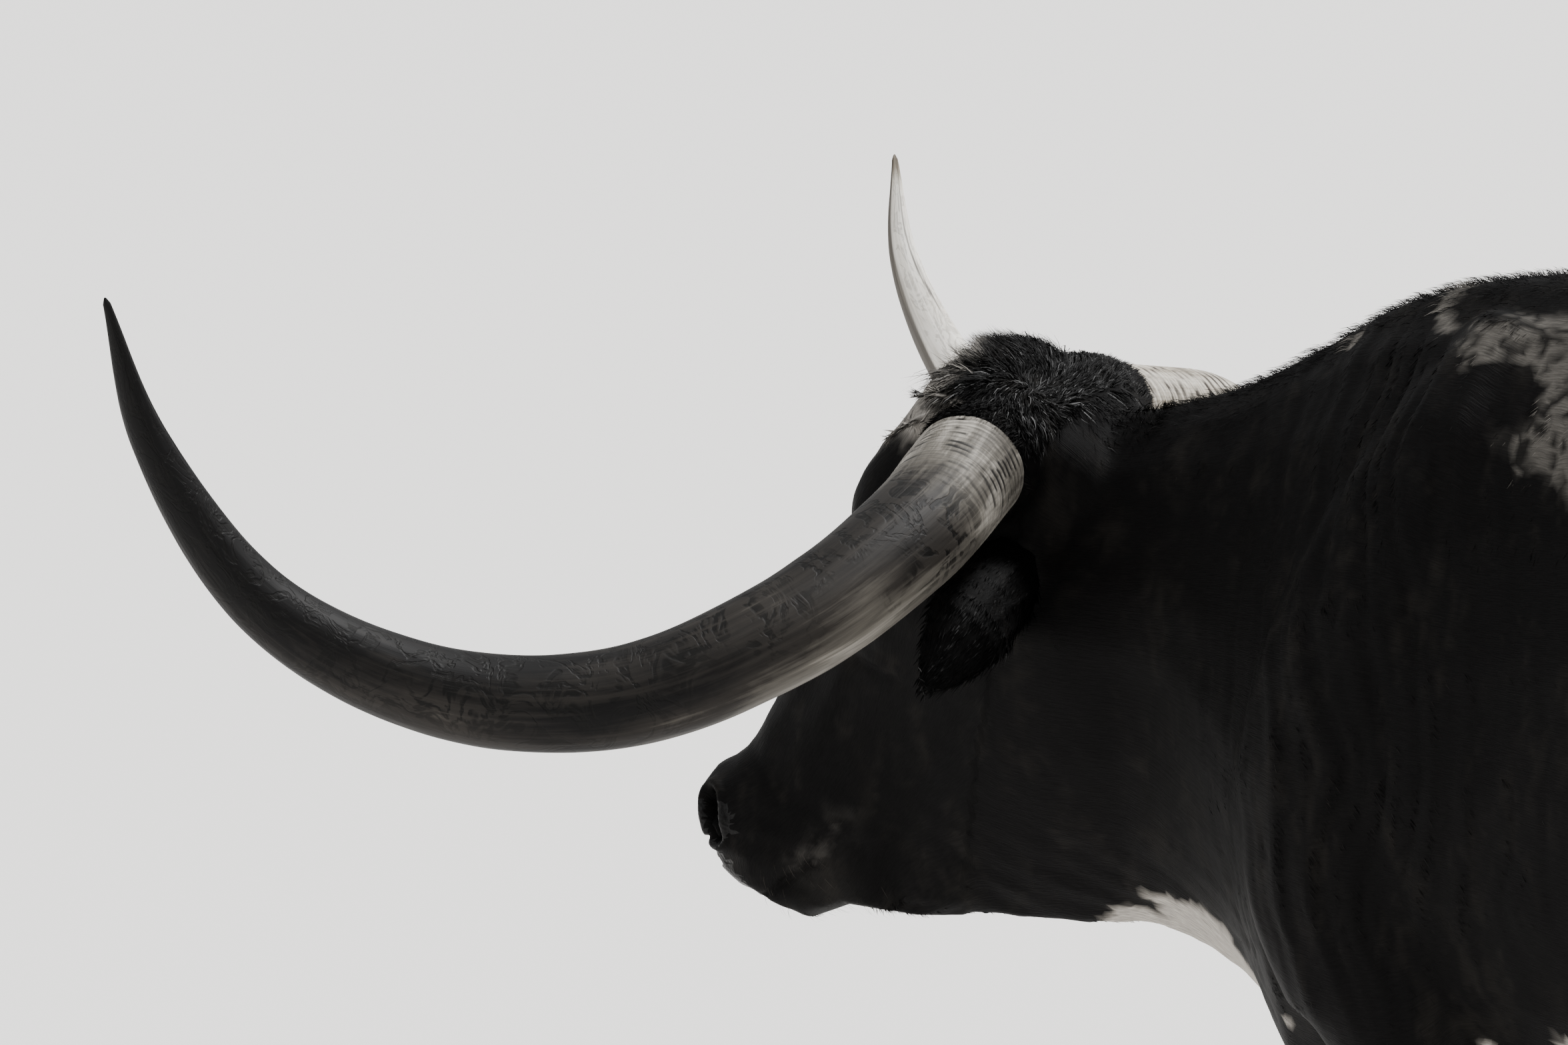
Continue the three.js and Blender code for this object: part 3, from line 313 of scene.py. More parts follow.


# horn: fibres along it, blotches, dark hairline cracks, growth rings in the mesh; a vertex attribute carries both wear
# and painted shade
def hornMaterial(name, pale, mid, dark, tip, markAndShadeColour):
    material = newMaterial(name, 0.56, 0.11)
    noises = []
    for across, along, detail, rough, bent in ((8, 190, 6, 0.65, 0), (38, 120, 5, 0.6, 0.6), (42, 34, 3, 0.6, 0.9)):
        values = {"Scale": 1.0, "Detail": detail, "Roughness": rough, "Distortion": bent}
        values["Vector"] = scaledUv(material, "grain", across, along)
        noises.append(addNode(material, "TexNoise", values).outputs["Fac"])
    fibres, patches, cracks = noises
    wearAndShade = addNode(material, "Attribute", attribute_name="wearAndShade")
    split = addNode(material, "SeparateColor", {"Color": wearAndShade.outputs["Color"]})
    grain = addNode(material, "Math", {0: fibres, 1: patches}, operation="ADD")
    tone = addNode(material, "Math", {0: grain.outputs["Value"], 1: split.outputs["Red"]}, operation="ADD")
    shift = addNode(material, "MapRange", {"Value": tone.outputs["Value"], "From Min": 0.55, "From Max": 2.0})
    ramp = addNode(material, "ValToRGB", {"Fac": shift.outputs["Result"]})
    stops = ramp.color_ramp.elements
    stops[0].position, stops[0].color = 0.08, (*toLinear(pale), 1)
    stops[1].position, stops[1].color = 0.98, (*toLinear(tip), 1)
    for position, colour in ((0.34, mid), (0.62, dark)):
        stops.new(position).color = (*toLinear(colour), 1)
    # hairline cracks: where the crack noise crosses its middle, in broken stretches
    offMiddle = addNode(material, "Math", {0: cracks, 1: 0.5}, operation="SUBTRACT")
    closeness = addNode(material, "Math", {0: offMiddle.outputs["Value"]}, operation="ABSOLUTE")
    hairline = addNode(material, "MapRange", {"Value": closeness.outputs["Value"], "From Min": 0.06, "From Max": 0.02})
    broken = addNode(material, "MapRange", {"Value": fibres, "From Min": 0.36, "From Max": 0.5})
    lines = {0: hairline.outputs["Result"], 1: broken.outputs["Result"]}
    stretch = addNode(material, "Math", lines, operation="MULTIPLY")
    allowed = {0: stretch.outputs["Value"], 1: split.outputs["Green"]}
    cracked = addNode(material, "Math", allowed, operation="MULTIPLY").outputs["Value"]
    marked = addNode(material, "Math", {0: cracked, 1: split.outputs["Blue"]}, operation="MAXIMUM")
    # marks in the blotch colour, on the far horn also the painted shade down its side
    blotched = {"Factor": marked.outputs["Value"], 6: ramp.outputs["Color"], 7: (*toLinear(markAndShadeColour), 1)}
    mix = addNode(material, "Mix", blotched, data_type="RGBA")
    connect(material, mix.outputs[2], "Base Color")
    relief = addNode(material, "Math", {0: fibres, 1: cracked}, operation="SUBTRACT")
    ridges = addNode(material, "Bump", {"Height": relief.outputs["Value"], "Strength": 0.6, "Distance": 0.0007})
    connect(material, ridges.outputs["Normal"], "Normal")
    return material


nearHorn = hornMaterial("weatheredGreyHorn", "#a39e95", "#5f5b54", "#2a2724", "#0b0a0a", "#0d0c0b")
farHorn = hornMaterial("sunlitPaleHorn", "#f6f2ea", "#dbd5c9", "#978e80", "#332d27", "#2b2520")

# hoof: dull, with growth lines
hoof = newMaterial("dullHoof", 0.55)
hoofPlace = addNode(hoof, "TexCoord")
hoofLines = addNode(hoof, "Mapping", {"Vector": hoofPlace.outputs["Object"], "Scale": (18, 18, 260)})
hoofNoise = addNode(hoof, "TexNoise", {"Vector": hoofLines.outputs["Vector"], "Scale": 1.0, "Detail": 4.0})
hoofRamp = addNode(hoof, "ValToRGB", {"Fac": hoofNoise.outputs["Fac"]})
for stop, position, colour in zip(hoofRamp.color_ramp.elements, (0.3, 0.75), ("#191715", "#3f3a35")):
    stop.position, stop.color = position, (*toLinear(colour), 1)
connect(hoof, hoofRamp.outputs["Color"], "Base Color")
hoofBump = addNode(hoof, "Bump", {"Height": hoofNoise.outputs["Fac"], "Strength": 0.4, "Distance": 0.001})
connect(hoof, hoofBump.outputs["Normal"], "Normal")

# eye: dark brown iris, long pupil, wet
eyeMaterial = tintedMaterial("wetEye", 0.06, 0.5)
print("materials made")


# mesh tools
def addObject(name, data):
    added = bpy.data.objects.new(name, data)
    bpy.context.scene.collection.objects.link(added)
    return added


def smoothFaces(mesh):
    mesh.polygons.foreach_set("use_smooth", np.ones(len(mesh.polygons), dtype=bool))


def readAll(items, key, width=1, kind=np.int32):
    # one row of numbers for each vertex, edge, corner or face
    values = np.empty(len(items) * width, dtype=kind)
    items.foreach_get(key, values)
    return values.reshape(-1, width) if width > 1 else values


def newPiece(name, points, faces, material):
    mesh = bpy.data.meshes.new(name)
    faces = np.asarray(faces)
    mesh.vertices.add(len(points))
    mesh.vertices.foreach_set("co", np.asarray(points, dtype=np.float32).ravel())
    mesh.loops.add(faces.size)
    mesh.loops.foreach_set("vertex_index", faces.astype(np.int32).ravel())
    mesh.polygons.add(len(faces))
    mesh.polygons.foreach_set("loop_start", np.arange(0, faces.size, faces.shape[1], dtype=np.int32))
    mesh.update(calc_edges=True)
    mesh.validate()
    smoothFaces(mesh)
    piece = addObject(name, mesh)
    mesh.materials.append(material)
    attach(piece, "root")
    return piece


def setTint(piece, colours, name="tint"):
    layer = piece.data.color_attributes.new(name, "FLOAT_COLOR", "POINT")
    full = np.ones((len(colours), 4), dtype=np.float32)
    full[:, :3] = colours
    layer.data.foreach_set("color", full.ravel())


def setUv(piece, name, perVertex, period=None):
    # per-vertex UV onto loops; a face over the seam is unrolled by one period in v
    mesh = piece.data
    corners = readAll(mesh.loops, "vertex_index")
    uv = perVertex[corners].copy()
    if period is not None:
        starts = readAll(mesh.polygons, "loop_start")
        counts = readAll(mesh.polygons, "loop_total")
        face = np.repeat(np.arange(len(starts)), counts)
        lead = uv[starts][face]
        turn = period[corners]
        uv[:, 1] -= np.round((uv[:, 1] - lead[:, 1]) / turn) * turn
    layer = mesh.uv_layers.new(name=name)
    layer.data.foreach_set("uv", uv.astype(np.float32).ravel())


def joinedCopy(names, pieceName):
    points, faces, start = [], [], 0
    for name in names:
        mesh = frame["nodes"][name].data
        points.append(readAll(mesh.vertices, "co", 3, float))
        faces += [[start + v for v in polygon.vertices] for polygon in mesh.polygons]
        start += len(mesh.vertices)
    return newPiece(pieceName, np.vstack(points), np.array(faces), hide)


def applyModifier(piece, kind, **settings):
    bpy.ops.object.select_all(action="DESELECT")
    piece.select_set(True)
    bpy.context.view_layer.objects.active = piece
    modifier = piece.modifiers.new(kind.lower(), kind)
    for key, value in settings.items():
        setattr(modifier, key, value)
    bpy.ops.object.modifier_apply(modifier=modifier.name)


def remesh(piece, voxel):
    applyModifier(piece, "REMESH", mode="VOXEL", voxel_size=voxel, use_smooth_shade=True)


def pointsOf(piece):
    return readAll(piece.data.vertices, "co", 3, float)


def normalsOf(piece):
    return readAll(piece.data.vertex_normals, "vector", 3, float)


def ringFaces(rows, sides):
    # quads of a tube, ring after ring
    r, k = np.meshgrid(np.arange(rows - 1), np.arange(sides), indexing="ij")
    a, b = r * sides + k, r * sides + (k + 1) % sides
    return np.stack([a, b, b + sides, a + sides], axis=2).reshape(-1, 4)


def closedTube(rows, sides):
    # triangles of a tube closed to a point at both ends, those two points coming last
    quads = ringFaces(rows, sides)
    k, last = np.arange(sides), (rows - 1) * sides
    first = np.stack([np.full(sides, last + sides), (k + 1) % sides, k], axis=1)
    tip = np.stack([last + k, last + (k + 1) % sides, np.full(sides, last + sides + 1)], axis=1)
    return np.concatenate([quads[:, [0, 1, 2]], quads[:, [0, 2, 3]], first, tip])


def putPoints(piece, points):
    piece.data.vertices.foreach_set("co", points.astype(np.float32).ravel())
    piece.data.update()


def relax(piece, weights, rounds):
    # smooths and swells back by turns, so that small forms go and the size stays
    points = pointsOf(piece)
    ends = readAll(piece.data.edges, "vertices", 2)
    a, b = ends.T
    count = np.bincount(ends.ravel(), minlength=len(points))
    for index in range(rounds * 2):
        step = (weights if index % 2 == 0 else -1.03 * weights)[:, None]
        mean = np.stack(
            [np.bincount(a, points[b, k], len(points)) + np.bincount(b, points[a, k], len(points)) for k in range(3)],
            axis=1,
        )
        points += step * (mean / count[:, None] - points)
    putPoints(piece, points)


# skin

skinSettings = {"voxel": 0.0066, "coatDepth": 0.0022, "trunkRounds": 54, "pollRounds": 30, "most": 196000}
# height of the lower jaw's line, by the distance ahead of the poll
jawLine = (
    [0.03, 0.08, 0.125, 0.168, 0.2, 0.222, 0.2425, 0.262, 0.282, 0.3],
    [-0.486, -0.488, -0.487, -0.486, -0.4855, -0.4955, -0.5045, -0.499, -0.488, -0.476],
)
hideNodes = [row["node"] for row in frame["record"]["subparts"] if row["material_slot"] == "hide"]
skin = joinedCopy([n for n in hideNodes if not n.startswith("ear")], "skin")
remesh(skin, skinSettings["voxel"])
points = pointsOf(skin)
back, side, height = bodyCoords(points)
along, headSide, over = headCoords(points)
head = inHead(points)
trunkShare = fade(back, -0.02, 0.16) * fade(height, -0.66, -0.56) * (1 - fade(back, 1.9, 1.94))
pollShare = fade(-along, -0.05, 0.0) * fade(over, -0.02, 0.03) * fade(0.13 - np.abs(headSide), 0, 0.03)
joint = blob((points - pollAt) @ fore + 0.03, 0.05)
calm = np.where(head, 0.12, 0.5)
relax(skin, calm, 12)
relax(skin, 0.6 * np.clip(np.maximum(trunkShare, 0.7 * joint), 0, 1), skinSettings["trunkRounds"])
relax(skin, 0.6 * pollShare, skinSettings["pollRounds"])
print("skin smoothed", len(points))


def nostrilOpening(along, over):
    return between(along, over, 0.501, 0.067, 0.523, 0.043, 0.0125)


def distanceTo(spot, points):
    # from the nearer of a pair of eyes or nostrils
    along, headSide, over = headCoords(points)
    return np.sqrt((along - spot["along"]) ** 2 + (over - spot["over"]) ** 2 + (np.abs(headSide) - spot["side"]) ** 2)


# ridges and creases of the face: height, a line from along, over to along, over, and its reach
faceRidges = [
    (-0.0034, 0.272, 0.018, 0.254, -0.045, 0.006),
    (0.0026, 0.262, 0.024, 0.25, -0.038, 0.007),
    (0.0034, 0.29, 0.022, 0.42, 0.004, 0.009),
    (-0.002, 0.3, 0.048, 0.44, 0.03, 0.012),
]


def sculpt(points):
    # small forms of the hide, as a height in metres off the surface
    back, _, height = bodyCoords(points)
    along, headSide, over = headCoords(points)
    head = headShare(points)
    trunk = (1 - head) * (height > -0.6)
    lump = np.zeros(len(points))
    # loose upright folds of the neck and shoulder
    wander = 0.03 * noise(points, 0.14, 31) + 0.008 * noise(points, 0.05, 33)
    phase = (back + 0.16 * height + wander) * 2 * math.pi
    zone = blob(back - 0.5, 0.2) * fade(height, -0.5, -0.35) * (1 - fade(height, 0.12, 0.2))
    folds = np.abs(np.sin(phase / 0.085)) ** 0.7 + 0.5 * np.abs(np.sin(phase / 0.047 + 1))
    lump += trunk * zone * 0.0036 * (folds - 0.9) * (0.6 + 0.8 * fade(cloud(points, 0.18, 35), -0.5, 0.5))
    # creases of the throat and the dewlap
    low = blob(height + 0.44, 0.07) * fade(0.42 - back, 0, 0.1)
    lump += low * 0.0006 * np.sin((height + 0.35 * back + wander) * 2 * math.pi / 0.03)
    # ribs, shoulder muscle, spine
    ribs = fade(back, 0.78, 0.9) * (1 - fade(back, 1.25, 1.38)) * blob(height + 0.12, 0.2)
    lump += trunk * ribs * 0.0026 * np.cos((back + 0.22 * height) * 2 * math.pi / 0.072)
    lump += trunk * 0.006 * blob(back - 0.56, 0.035) * blob(height - 0.02, 0.16)
    lump += trunk * 0.004 * cloud(points, 0.16, 37) + 0.0012 * cloud(points, 0.045, 39) * (1 - head)
    # head: crease under the eye, facial crest, lid wrinkles, nostril rims, lips
    near = np.abs(headSide)
    for depth, *line in faceRidges:
        lump += head * depth * between(along, over, *line)
    toEye = np.hypot(along - eyeSpot["along"], over - eyeSpot["over"])
    lump += head * (near > 0.05) * 0.0013 * np.cos(toEye * 2 * math.pi / 0.0085) * blob(toEye - 0.036, 0.012)
    # brow over the eye, bridge of the nose
    lump += head * 0.011 * blob(along - 0.1, 0.05) * blob(near - 0.09, 0.035) * fade(over, 0.03, 0.06)
    lump += head * 0.008 * blob(along - 0.4, 0.12) * fade(over, 0.0, 0.03) * fade(0.075 - near, 0, 0.02)
    # the nostril: a comma-shaped opening with a raised rim behind it
    opening = nostrilOpening(along, over) * fade(near, 0.035, 0.045)
    lump += head * 0.0035 * fade(opening, 0.05, 0.25) - head * 0.02 * fade(opening, 0.36, 0.85)
    # mouth: a slit running back to its corner, with small folds behind it
    slit = between(along, over, 0.55, -0.03, 0.487, -0.052, 0.0035) * fade(near, 0.03, 0.04)
    lump -= head * 0.004 * slit
    lump -= head * 0.002 * between(along, over, 0.486, -0.052, 0.44, -0.088, 0.003) * fade(near, 0.03, 0.04)
    lump += head * 0.0012 * cloud(points, 0.03, 41)
    chin = fade(along, 0.47, 0.52) * fade(-over, 0.04, 0.07)
    lump += head * chin * 0.0012 * noise(points, 0.009, 43)
    return lump


# finer mesh round the muzzle and the eyes
points = pointsOf(skin)
along, headSide, over = headCoords(points)
detailed = inHead(points) & ((along > 0.43) | (distanceTo(eyeSpot, points) < 0.06))
fine = bmesh.new()
fine.from_mesh(skin.data)
edges = [edge for edge in fine.edges if detailed[edge.verts[0].index] and detailed[edge.verts[1].index]]
bmesh.ops.subdivide_edges(fine, edges=edges, cuts=2, use_grid_fill=True, smooth=0.6)
fine.to_mesh(skin.data)
fine.free()
smoothFaces(skin.data)

points = pointsOf(skin)
points += normalsOf(skin) * (sculpt(points) - skinSettings["coatDepth"] * np.where(inHead(points), 0.5, 1.0))[:, None]
# underside of chin and jaw: its line seen from the side, rounded across
ahead, headSide = (points - pollAt) @ fore, (points - pollAt) @ leftward
lineUnder = np.interp(ahead, *jawLine)
lineUnder += 9.0 * headSide**2
hold = fade(-normalsOf(skin)[:, 2], 0.0, 0.45) * fade(0.05 - np.abs(headSide), 0, 0.02)
hold *= fade(ahead, 0.03, 0.13) * (1 - fade(ahead, 0.275, 0.3))
hold *= fade(-0.41 - (points[:, 2] - pollAt[2]), 0, 0.02)
points[:, 2] += hold * (lineUnder + pollAt[2] - points[:, 2])
putPoints(skin, points)
jawShare = fade(ahead, 0.02, 0.06) * fade(-0.4 - (points[:, 2] - pollAt[2]), 0, 0.02) * (np.abs(headSide) < 0.06)
relax(skin, 0.5 * jawShare, 8)
# thinned to what one piece may have; sharply curved places keep the most
skinFaces = sum(len(face.vertices) - 2 for face in skin.data.polygons)
applyModifier(skin, "DECIMATE", ratio=min(1.0, skinSettings["most"] / skinFaces))
smoothFaces(skin.data)
print("skin sculpted")


# lay of the skin: a chart for trunk, head, each leg and the tail, in metres along and around
def charts(points):
    back, side, height = bodyCoords(points)
    along, headSide, over = headCoords(points)
    kind = np.zeros(len(points), dtype=int)
    kind[inHead(points)] = 1
    leg = (points[:, 2] < 0.7) & (np.abs(side) > 0.095) & (back > 0.3)
    kind[leg & (back < 1.1)] = 2
    kind[leg & (back < 1.1) & (side < 0)] = 3
    kind[leg & (back > 1.3)] = 4
    kind[leg & (back > 1.3) & (side < 0)] = 5
    dock = (back > 1.85) & (np.abs(side) < 0.075) & (height > 0.05) & (height > 0.1 - (back - 1.85))
    kind[(back > 1.935) | dock] = 6
    u = np.zeros(len(points))
    angle = np.zeros(len(points))
    radius = np.ones(len(points)) * 0.3
    for index in range(7):
        mine = kind == index
        if not mine.any():
            continue
        if index == 0:
            u[mine], angle[mine] = back[mine], np.arctan2(side[mine], height[mine] + 0.18)
        elif index == 1:
            u[mine], angle[mine], radius[mine] = along[mine], np.arctan2(headSide[mine], over[mine] + 0.06), 0.1
        else:
            level = np.floor(points[mine, 2] / 0.02).astype(int)
            level -= level.min()
            count = np.maximum(np.bincount(level), 1)
            midX = (np.bincount(level, points[mine, 0]) / count)[level]
            midY = (np.bincount(level, points[mine, 1]) / count)[level]
            u[mine] = -points[mine, 2]
            angle[mine] = np.arctan2(points[mine, 1] - midY, points[mine, 0] - midX)
            radius[mine] = 0.02 if index == 6 else 0.045
    return kind, u, angle, radius


# unwrap boxes: left, width, low, height, and what the way along adds and is divided by
chartBoxes = [(0.0, 1.0, 0.44, 0.56, 0.1, 2.2), (0.0, 0.38, 0.0, 0.4, 0.12, 0.72)]
chartBoxes += [(left, 0.09, 0.0, 0.42, 0.72, 0.8) for left in (0.46, 0.57, 0.68, 0.79)]
chartBoxes += [(0.9, 0.09, 0.0, 0.42, 1.4, 1.42)]


def bakeUv(kind, u, angle):
    # where each point lies on the unwrap: along its chart one way, round it the other
    boxes = np.array(chartBoxes)[kind]
    uShare = np.clip((u + boxes[:, 4]) / boxes[:, 5], 0.003, 0.997)
    vShare = np.clip((angle + math.pi) / (2 * math.pi), 0.003, 0.997)
    wide = kind <= 1
    x = np.where(wide, uShare, vShare) * boxes[:, 1] + boxes[:, 0]
    y = np.where(wide, vShare, uShare) * boxes[:, 3] + boxes[:, 2]
    return np.stack([x, y], axis=1)


def skinUv(nearest):
    return bakeUv(kind[nearest], layU[nearest], layAngle[nearest])


points = pointsOf(skin)
kind, layU, layAngle, layRadius = charts(points)
setUv(skin, "lay", np.stack([layU, layAngle * layRadius], axis=1), 2 * math.pi * layRadius)

# colour of the skin, bare muzzle, and painted shade inside the nostrils
along, headSide, over = headCoords(points)
near = np.abs(headSide)
toNostril = distanceTo(nostrilSpot, points)
bareShare = fade(along + 0.25 * over + 0.006 * noise(points, 0.02, 51), 0.538, 0.552) * fade(over, -0.05, -0.02)
bareShare = np.maximum(bareShare, fade(0.03 - toNostril, 0, 0.008)) * inHead(points)
inside = nostrilOpening(along, over) * (near > 0.03) * inHead(points)
bareShare = bareShare * (1 - fade(inside, 0.5, 0.62))
skinColour = hairColour(points, np.full(len(points), 0.72))
skinColour = blend(skinColour, toLinear(tints["bare"]), bareShare)
# painted shade: the inside of the nostril opening made near black
skinColour *= 1 - 0.85 * fade(inside, 0.4, 0.8)[:, None]
setTint(skin, skinColour)
skin.data.materials.append(bare)
firstCorners = readAll(skin.data.loops, "vertex_index")[readAll(skin.data.polygons, "loop_start")]
skin.data.polygons.foreach_set("material_index", (bareShare[firstCorners] > 0.5).astype(np.int32))
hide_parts(*hideNodes)
print("skin painted")

# ears: finer than the skin, run into it at the root
earSettings = {"voxel": 0.0024, "count": 16000, "long": 0.012, "wide": 0.0015, "rise": 0.3}
fringeSettings = {"count": 3600, "long": 0.02, "wide": 0.0009, "rise": 0.4, "sag": 0.003}
ears = joinedCopy(["ear_left", "ear_right"], "ears")
remesh(ears, earSettings["voxel"])
relax(ears, np.full(len(ears.data.vertices), 0.5), 6)
earPoints = pointsOf(ears)
earPoints += normalsOf(ears) * (-0.0012 + 0.0008 * noise(earPoints, 0.012, 61))[:, None]
putPoints(ears, earPoints)
# ear skin tint dimmed to 0.35: painted shadow of the near horn
setTint(ears, hairColour(earPoints, np.full(len(earPoints), 0.35)))
earLength = np.abs((earPoints - pollAt) @ leftward)
setUv(ears, "lay", np.stack([earLength, (earPoints - pollAt) @ fore], axis=1))


# hair

coatFaces = []


def strands(name, roots, normals, ways, sizes, colours, uv, joints=1, material=hair, slotName="hide", turn=0.26):
    # flat blades. joints=1 is a two-triangle leaf; more joints bend and taper towards the tip
    n = len(roots)
    ways = unit(ways)
    long, wide, rise, sag = (sizes[key] for key in ("long", "wide", "rise", "sag"))
    out = unit(ways * np.cos(rise)[:, None] + normals * np.sin(rise)[:, None])
    acrossWay = unit(np.cross(out, normals))
    roll = sizes.get("roll", np.zeros(n))
    acrossWay = unit(acrossWay * np.cos(roll)[:, None] + normals * np.sin(roll)[:, None])
    start = roots - normals * 0.0015
    curl = sizes.get("curl")
    rows, shades = [], []
    levels = [0.0, 0.42, 1.0] if joints == 1 else list(np.linspace(0, 1, joints + 1))
    for t in levels:
        middle = start + out * (long * t)[:, None] + (ways - out) * (long * t * t)[:, None] * 0.5
        middle = middle - upward * (sag * t * t)[:, None]
        if curl is not None:
            middle = middle + curl(t, long)
        half = wide * 0.5 * ((0.35 + 1.55 * t) if joints == 1 and t < 0.5 else (1 - t**1.6))
        rows.append((middle, half))
        shades.append(colours * (0.55 + 0.6 * min(1, t * 1.5)))
    if joints == 1:
        middle, reach = rows[1][0], acrossWay * rows[1][1][:, None]
        points = [start, middle - reach, middle + reach, rows[2][0]]
        tintRows = [shades[0], shades[1], shades[1], shades[2]]
        shape = [(0, 2, 1), (1, 2, 3)]
    else:
        points, tintRows, shape = [], [], []
        for (middle, half), shade in zip(rows[:-1], shades):
            points += [middle - acrossWay * half[:, None], middle + acrossWay * half[:, None]]
            tintRows += [shade, shade]
        points.append(rows[-1][0])
        tintRows.append(shades[-1])
        for j in range(joints - 1):
            shape += [(2 * j, 2 * j + 1, 2 * j + 2), (2 * j + 1, 2 * j + 3, 2 * j + 2)]
        shape.append((2 * joints - 2, 2 * joints - 1, 2 * joints))
    per = len(points)
    grid = np.stack(points, axis=1).reshape(-1, 3)
    tintGrid = np.stack(tintRows, axis=1).reshape(-1, 3)
    faces = (np.arange(n)[:, None, None] * per + np.array(shape)).reshape(-1, 3)
    piece = newPiece(name, grid, faces, material)
    setTint(piece, tintGrid)
    # shaded much as the skin under it, each strand a little turned
    turned = unit(normals + draw.normal(0, turn, (n, 3)))
    piece.data.normals_split_custom_set_from_vertices(np.repeat(turned, per, axis=0))
    patch = np.array([[0, 0], [0.003, 0.0], [0.003, 0.003], [0, 0.003]])[np.arange(per) % 4] - 0.0015
    setUv(piece, "OFBake", (np.repeat(uv, per, axis=0) + np.tile(patch, (n, 1))))
    coatFaces.append(len(faces))
    return piece


def scatter(piece, density, count):
    # random places on a surface, denser where density is higher
    mesh = piece.data
    mesh.calc_loop_triangles()
    tris = readAll(mesh.loop_triangles, "vertices", 3)
    points, normals = pointsOf(piece), normalsOf(piece)
    a, b, c = points[tris[:, 0]], points[tris[:, 1]], points[tris[:, 2]]
    area = np.linalg.norm(np.cross(b - a, c - a), axis=1) * density[tris].mean(axis=1)
    chosen = draw.choice(len(tris), count, p=area / area.sum())
    r1, r2 = np.sqrt(draw.random(count)), draw.random(count)
    w = np.stack([1 - r1, r1 * (1 - r2), r1 * r2], axis=1)
    spots = (points[tris[chosen]] * w[:, :, None]).sum(axis=1)
    lean = unit((normals[tris[chosen]] * w[:, :, None]).sum(axis=1))
    return spots, lean, tris[chosen, 0]


whorlAt = headSpot(-0.073, 0.08, 0.01)


def flow(points, normals):
    # which way the hair lies
    back, side, height = bodyCoords(points)
    along, _, over = headCoords(points)
    head = inHead(points)
    way = np.zeros_like(points)
    way[:, 0] = 1 - 1.35 * (1 - fade(back, 0.72, 1.0)) * fade(height, -0.12, 0.08) * fade(back, 0.0, 0.2)
    way[:, 2] = -0.35 - 0.6 * blob(back - 0.5, 0.3) - 0.3 * fade(-height, -0.1, 0.4)
    legs = (points[:, 2] < 0.72) & (np.abs(side) > 0.09)
    way[legs] = [0.12, 0, -1]
    way[back > 1.88] = [0.1, 0, -1]
    cheeks = fade(-over, -0.04, 0.08)[:, None]
    face = downFace * (0.9 - 0.6 * cheeks) - offFace * (0.9 * cheeks) - fore * 0.25 * cheeks
    whorl = points - whorlAt
    crown = fade(-along, -0.09, 0.0)[:, None]
    spin = np.cross(normals, unit(whorl))
    middle = blob(np.linalg.norm(whorl, axis=1), 0.04)[:, None]
    tousle = wayNoise(points, 0.014, (78, 79, 80))
    face = face * (1 - crown) + (unit(whorl) + 0.6 * spin + 1.6 * middle * tousle) * crown * 1.2
    way[head] = face[head]
    way = way + 0.28 * wayNoise(points, 0.05, (71, 73, 75))
    way = way - normals * (way * normals).sum(axis=1, keepdims=True)
    return unit(way)


def sizesFor(n, settings):
    return {
        "long": settings["long"] * draw.uniform(0.7, 1.25, n),
        "wide": settings["wide"] * draw.uniform(0.7, 1.3, n),
        "rise": settings["rise"] * draw.uniform(0.4, 1.6, n),
        "sag": np.full(n, settings.get("sag", 0.0)),
        "roll": draw.normal(0, 0.6, n),
    }


points = pointsOf(skin)
back, side, height = bodyCoords(points)
along, headSide, over = headCoords(points)
head = inHead(points)
few = 1.0

coatPlaces = {
    "coatFace": head,
    "coatNeck": ~head & (back < 0.5),
    "coatShoulders": ~head & (back > 0.44) & (back < 0.92) & (height > -0.6),
    "coatBarrel": ~head & (back > 0.86) & (back < 1.42) & (height > -0.62),
    "coatRump": ~head & (back > 1.36) & (height > -0.6),
    "coatLegs": (height < -0.5) & (np.abs(side) > 0.08),
}
coatSettings = {
    "coatFace": {"count": 82000, "long": 0.008, "wide": 0.0009, "rise": 0.1},
    "coatNeck": {"count": 92000, "long": 0.012, "wide": 0.0011, "rise": 0.09},
    "coatShoulders": {"count": 90000, "long": 0.014, "wide": 0.0012, "rise": 0.09},
    "coatBarrel": {"count": 76000, "long": 0.017, "wide": 0.002, "rise": 0.09},
    "coatRump": {"count": 74000, "long": 0.016, "wide": 0.002, "rise": 0.09},
    "coatLegs": {"count": 60000, "long": 0.011, "wide": 0.0016, "rise": 0.1},
}
for name, zone in coatSettings.items():
    # none inside the nostrils and the mouth
    density = coatPlaces[name] * (1 - bareShare) * fade(toNostril, 0.03, 0.036)
    roots, normals, nearest = scatter(skin, density, int(zone["count"] * few))
    ways = flow(roots, normals)
    sizes = sizesFor(len(roots), zone)
    sizes["long"] *= 1 + 0.35 * cloud(roots, 0.05, 81)
    if name == "coatFace":
        a, _, o = headCoords(roots)
        sizes["long"] *= 0.6 + 0.9 * fade(-a, -0.2, 0.0) + 0.4 * fade(-o, 0.0, 0.1)
    colours = hairColour(roots, draw.uniform(0.75, 1.3, len(roots)))
    strands(name, roots, normals, ways, sizes, colours, skinUv(nearest))
print("short coat", sum(coatFaces))

# topline: short hair that stands a little, along the crest and the withers
toplineSettings = {"count": 14000, "long": 0.019, "wide": 0.0008, "rise": 0.8}
density = blob(side, 0.035) * (height > 0.0) * ~head * (back < 1.8)
roots, normals, nearest = scatter(skin, density + 1e-9, int(toplineSettings["count"] * few))
sizes = sizesFor(len(roots), toplineSettings)
colours = hairColour(roots, draw.uniform(0.6, 1.2, len(roots)))
strands("topline", roots, normals, flow(roots, normals), sizes, colours, skinUv(nearest), joints=2)

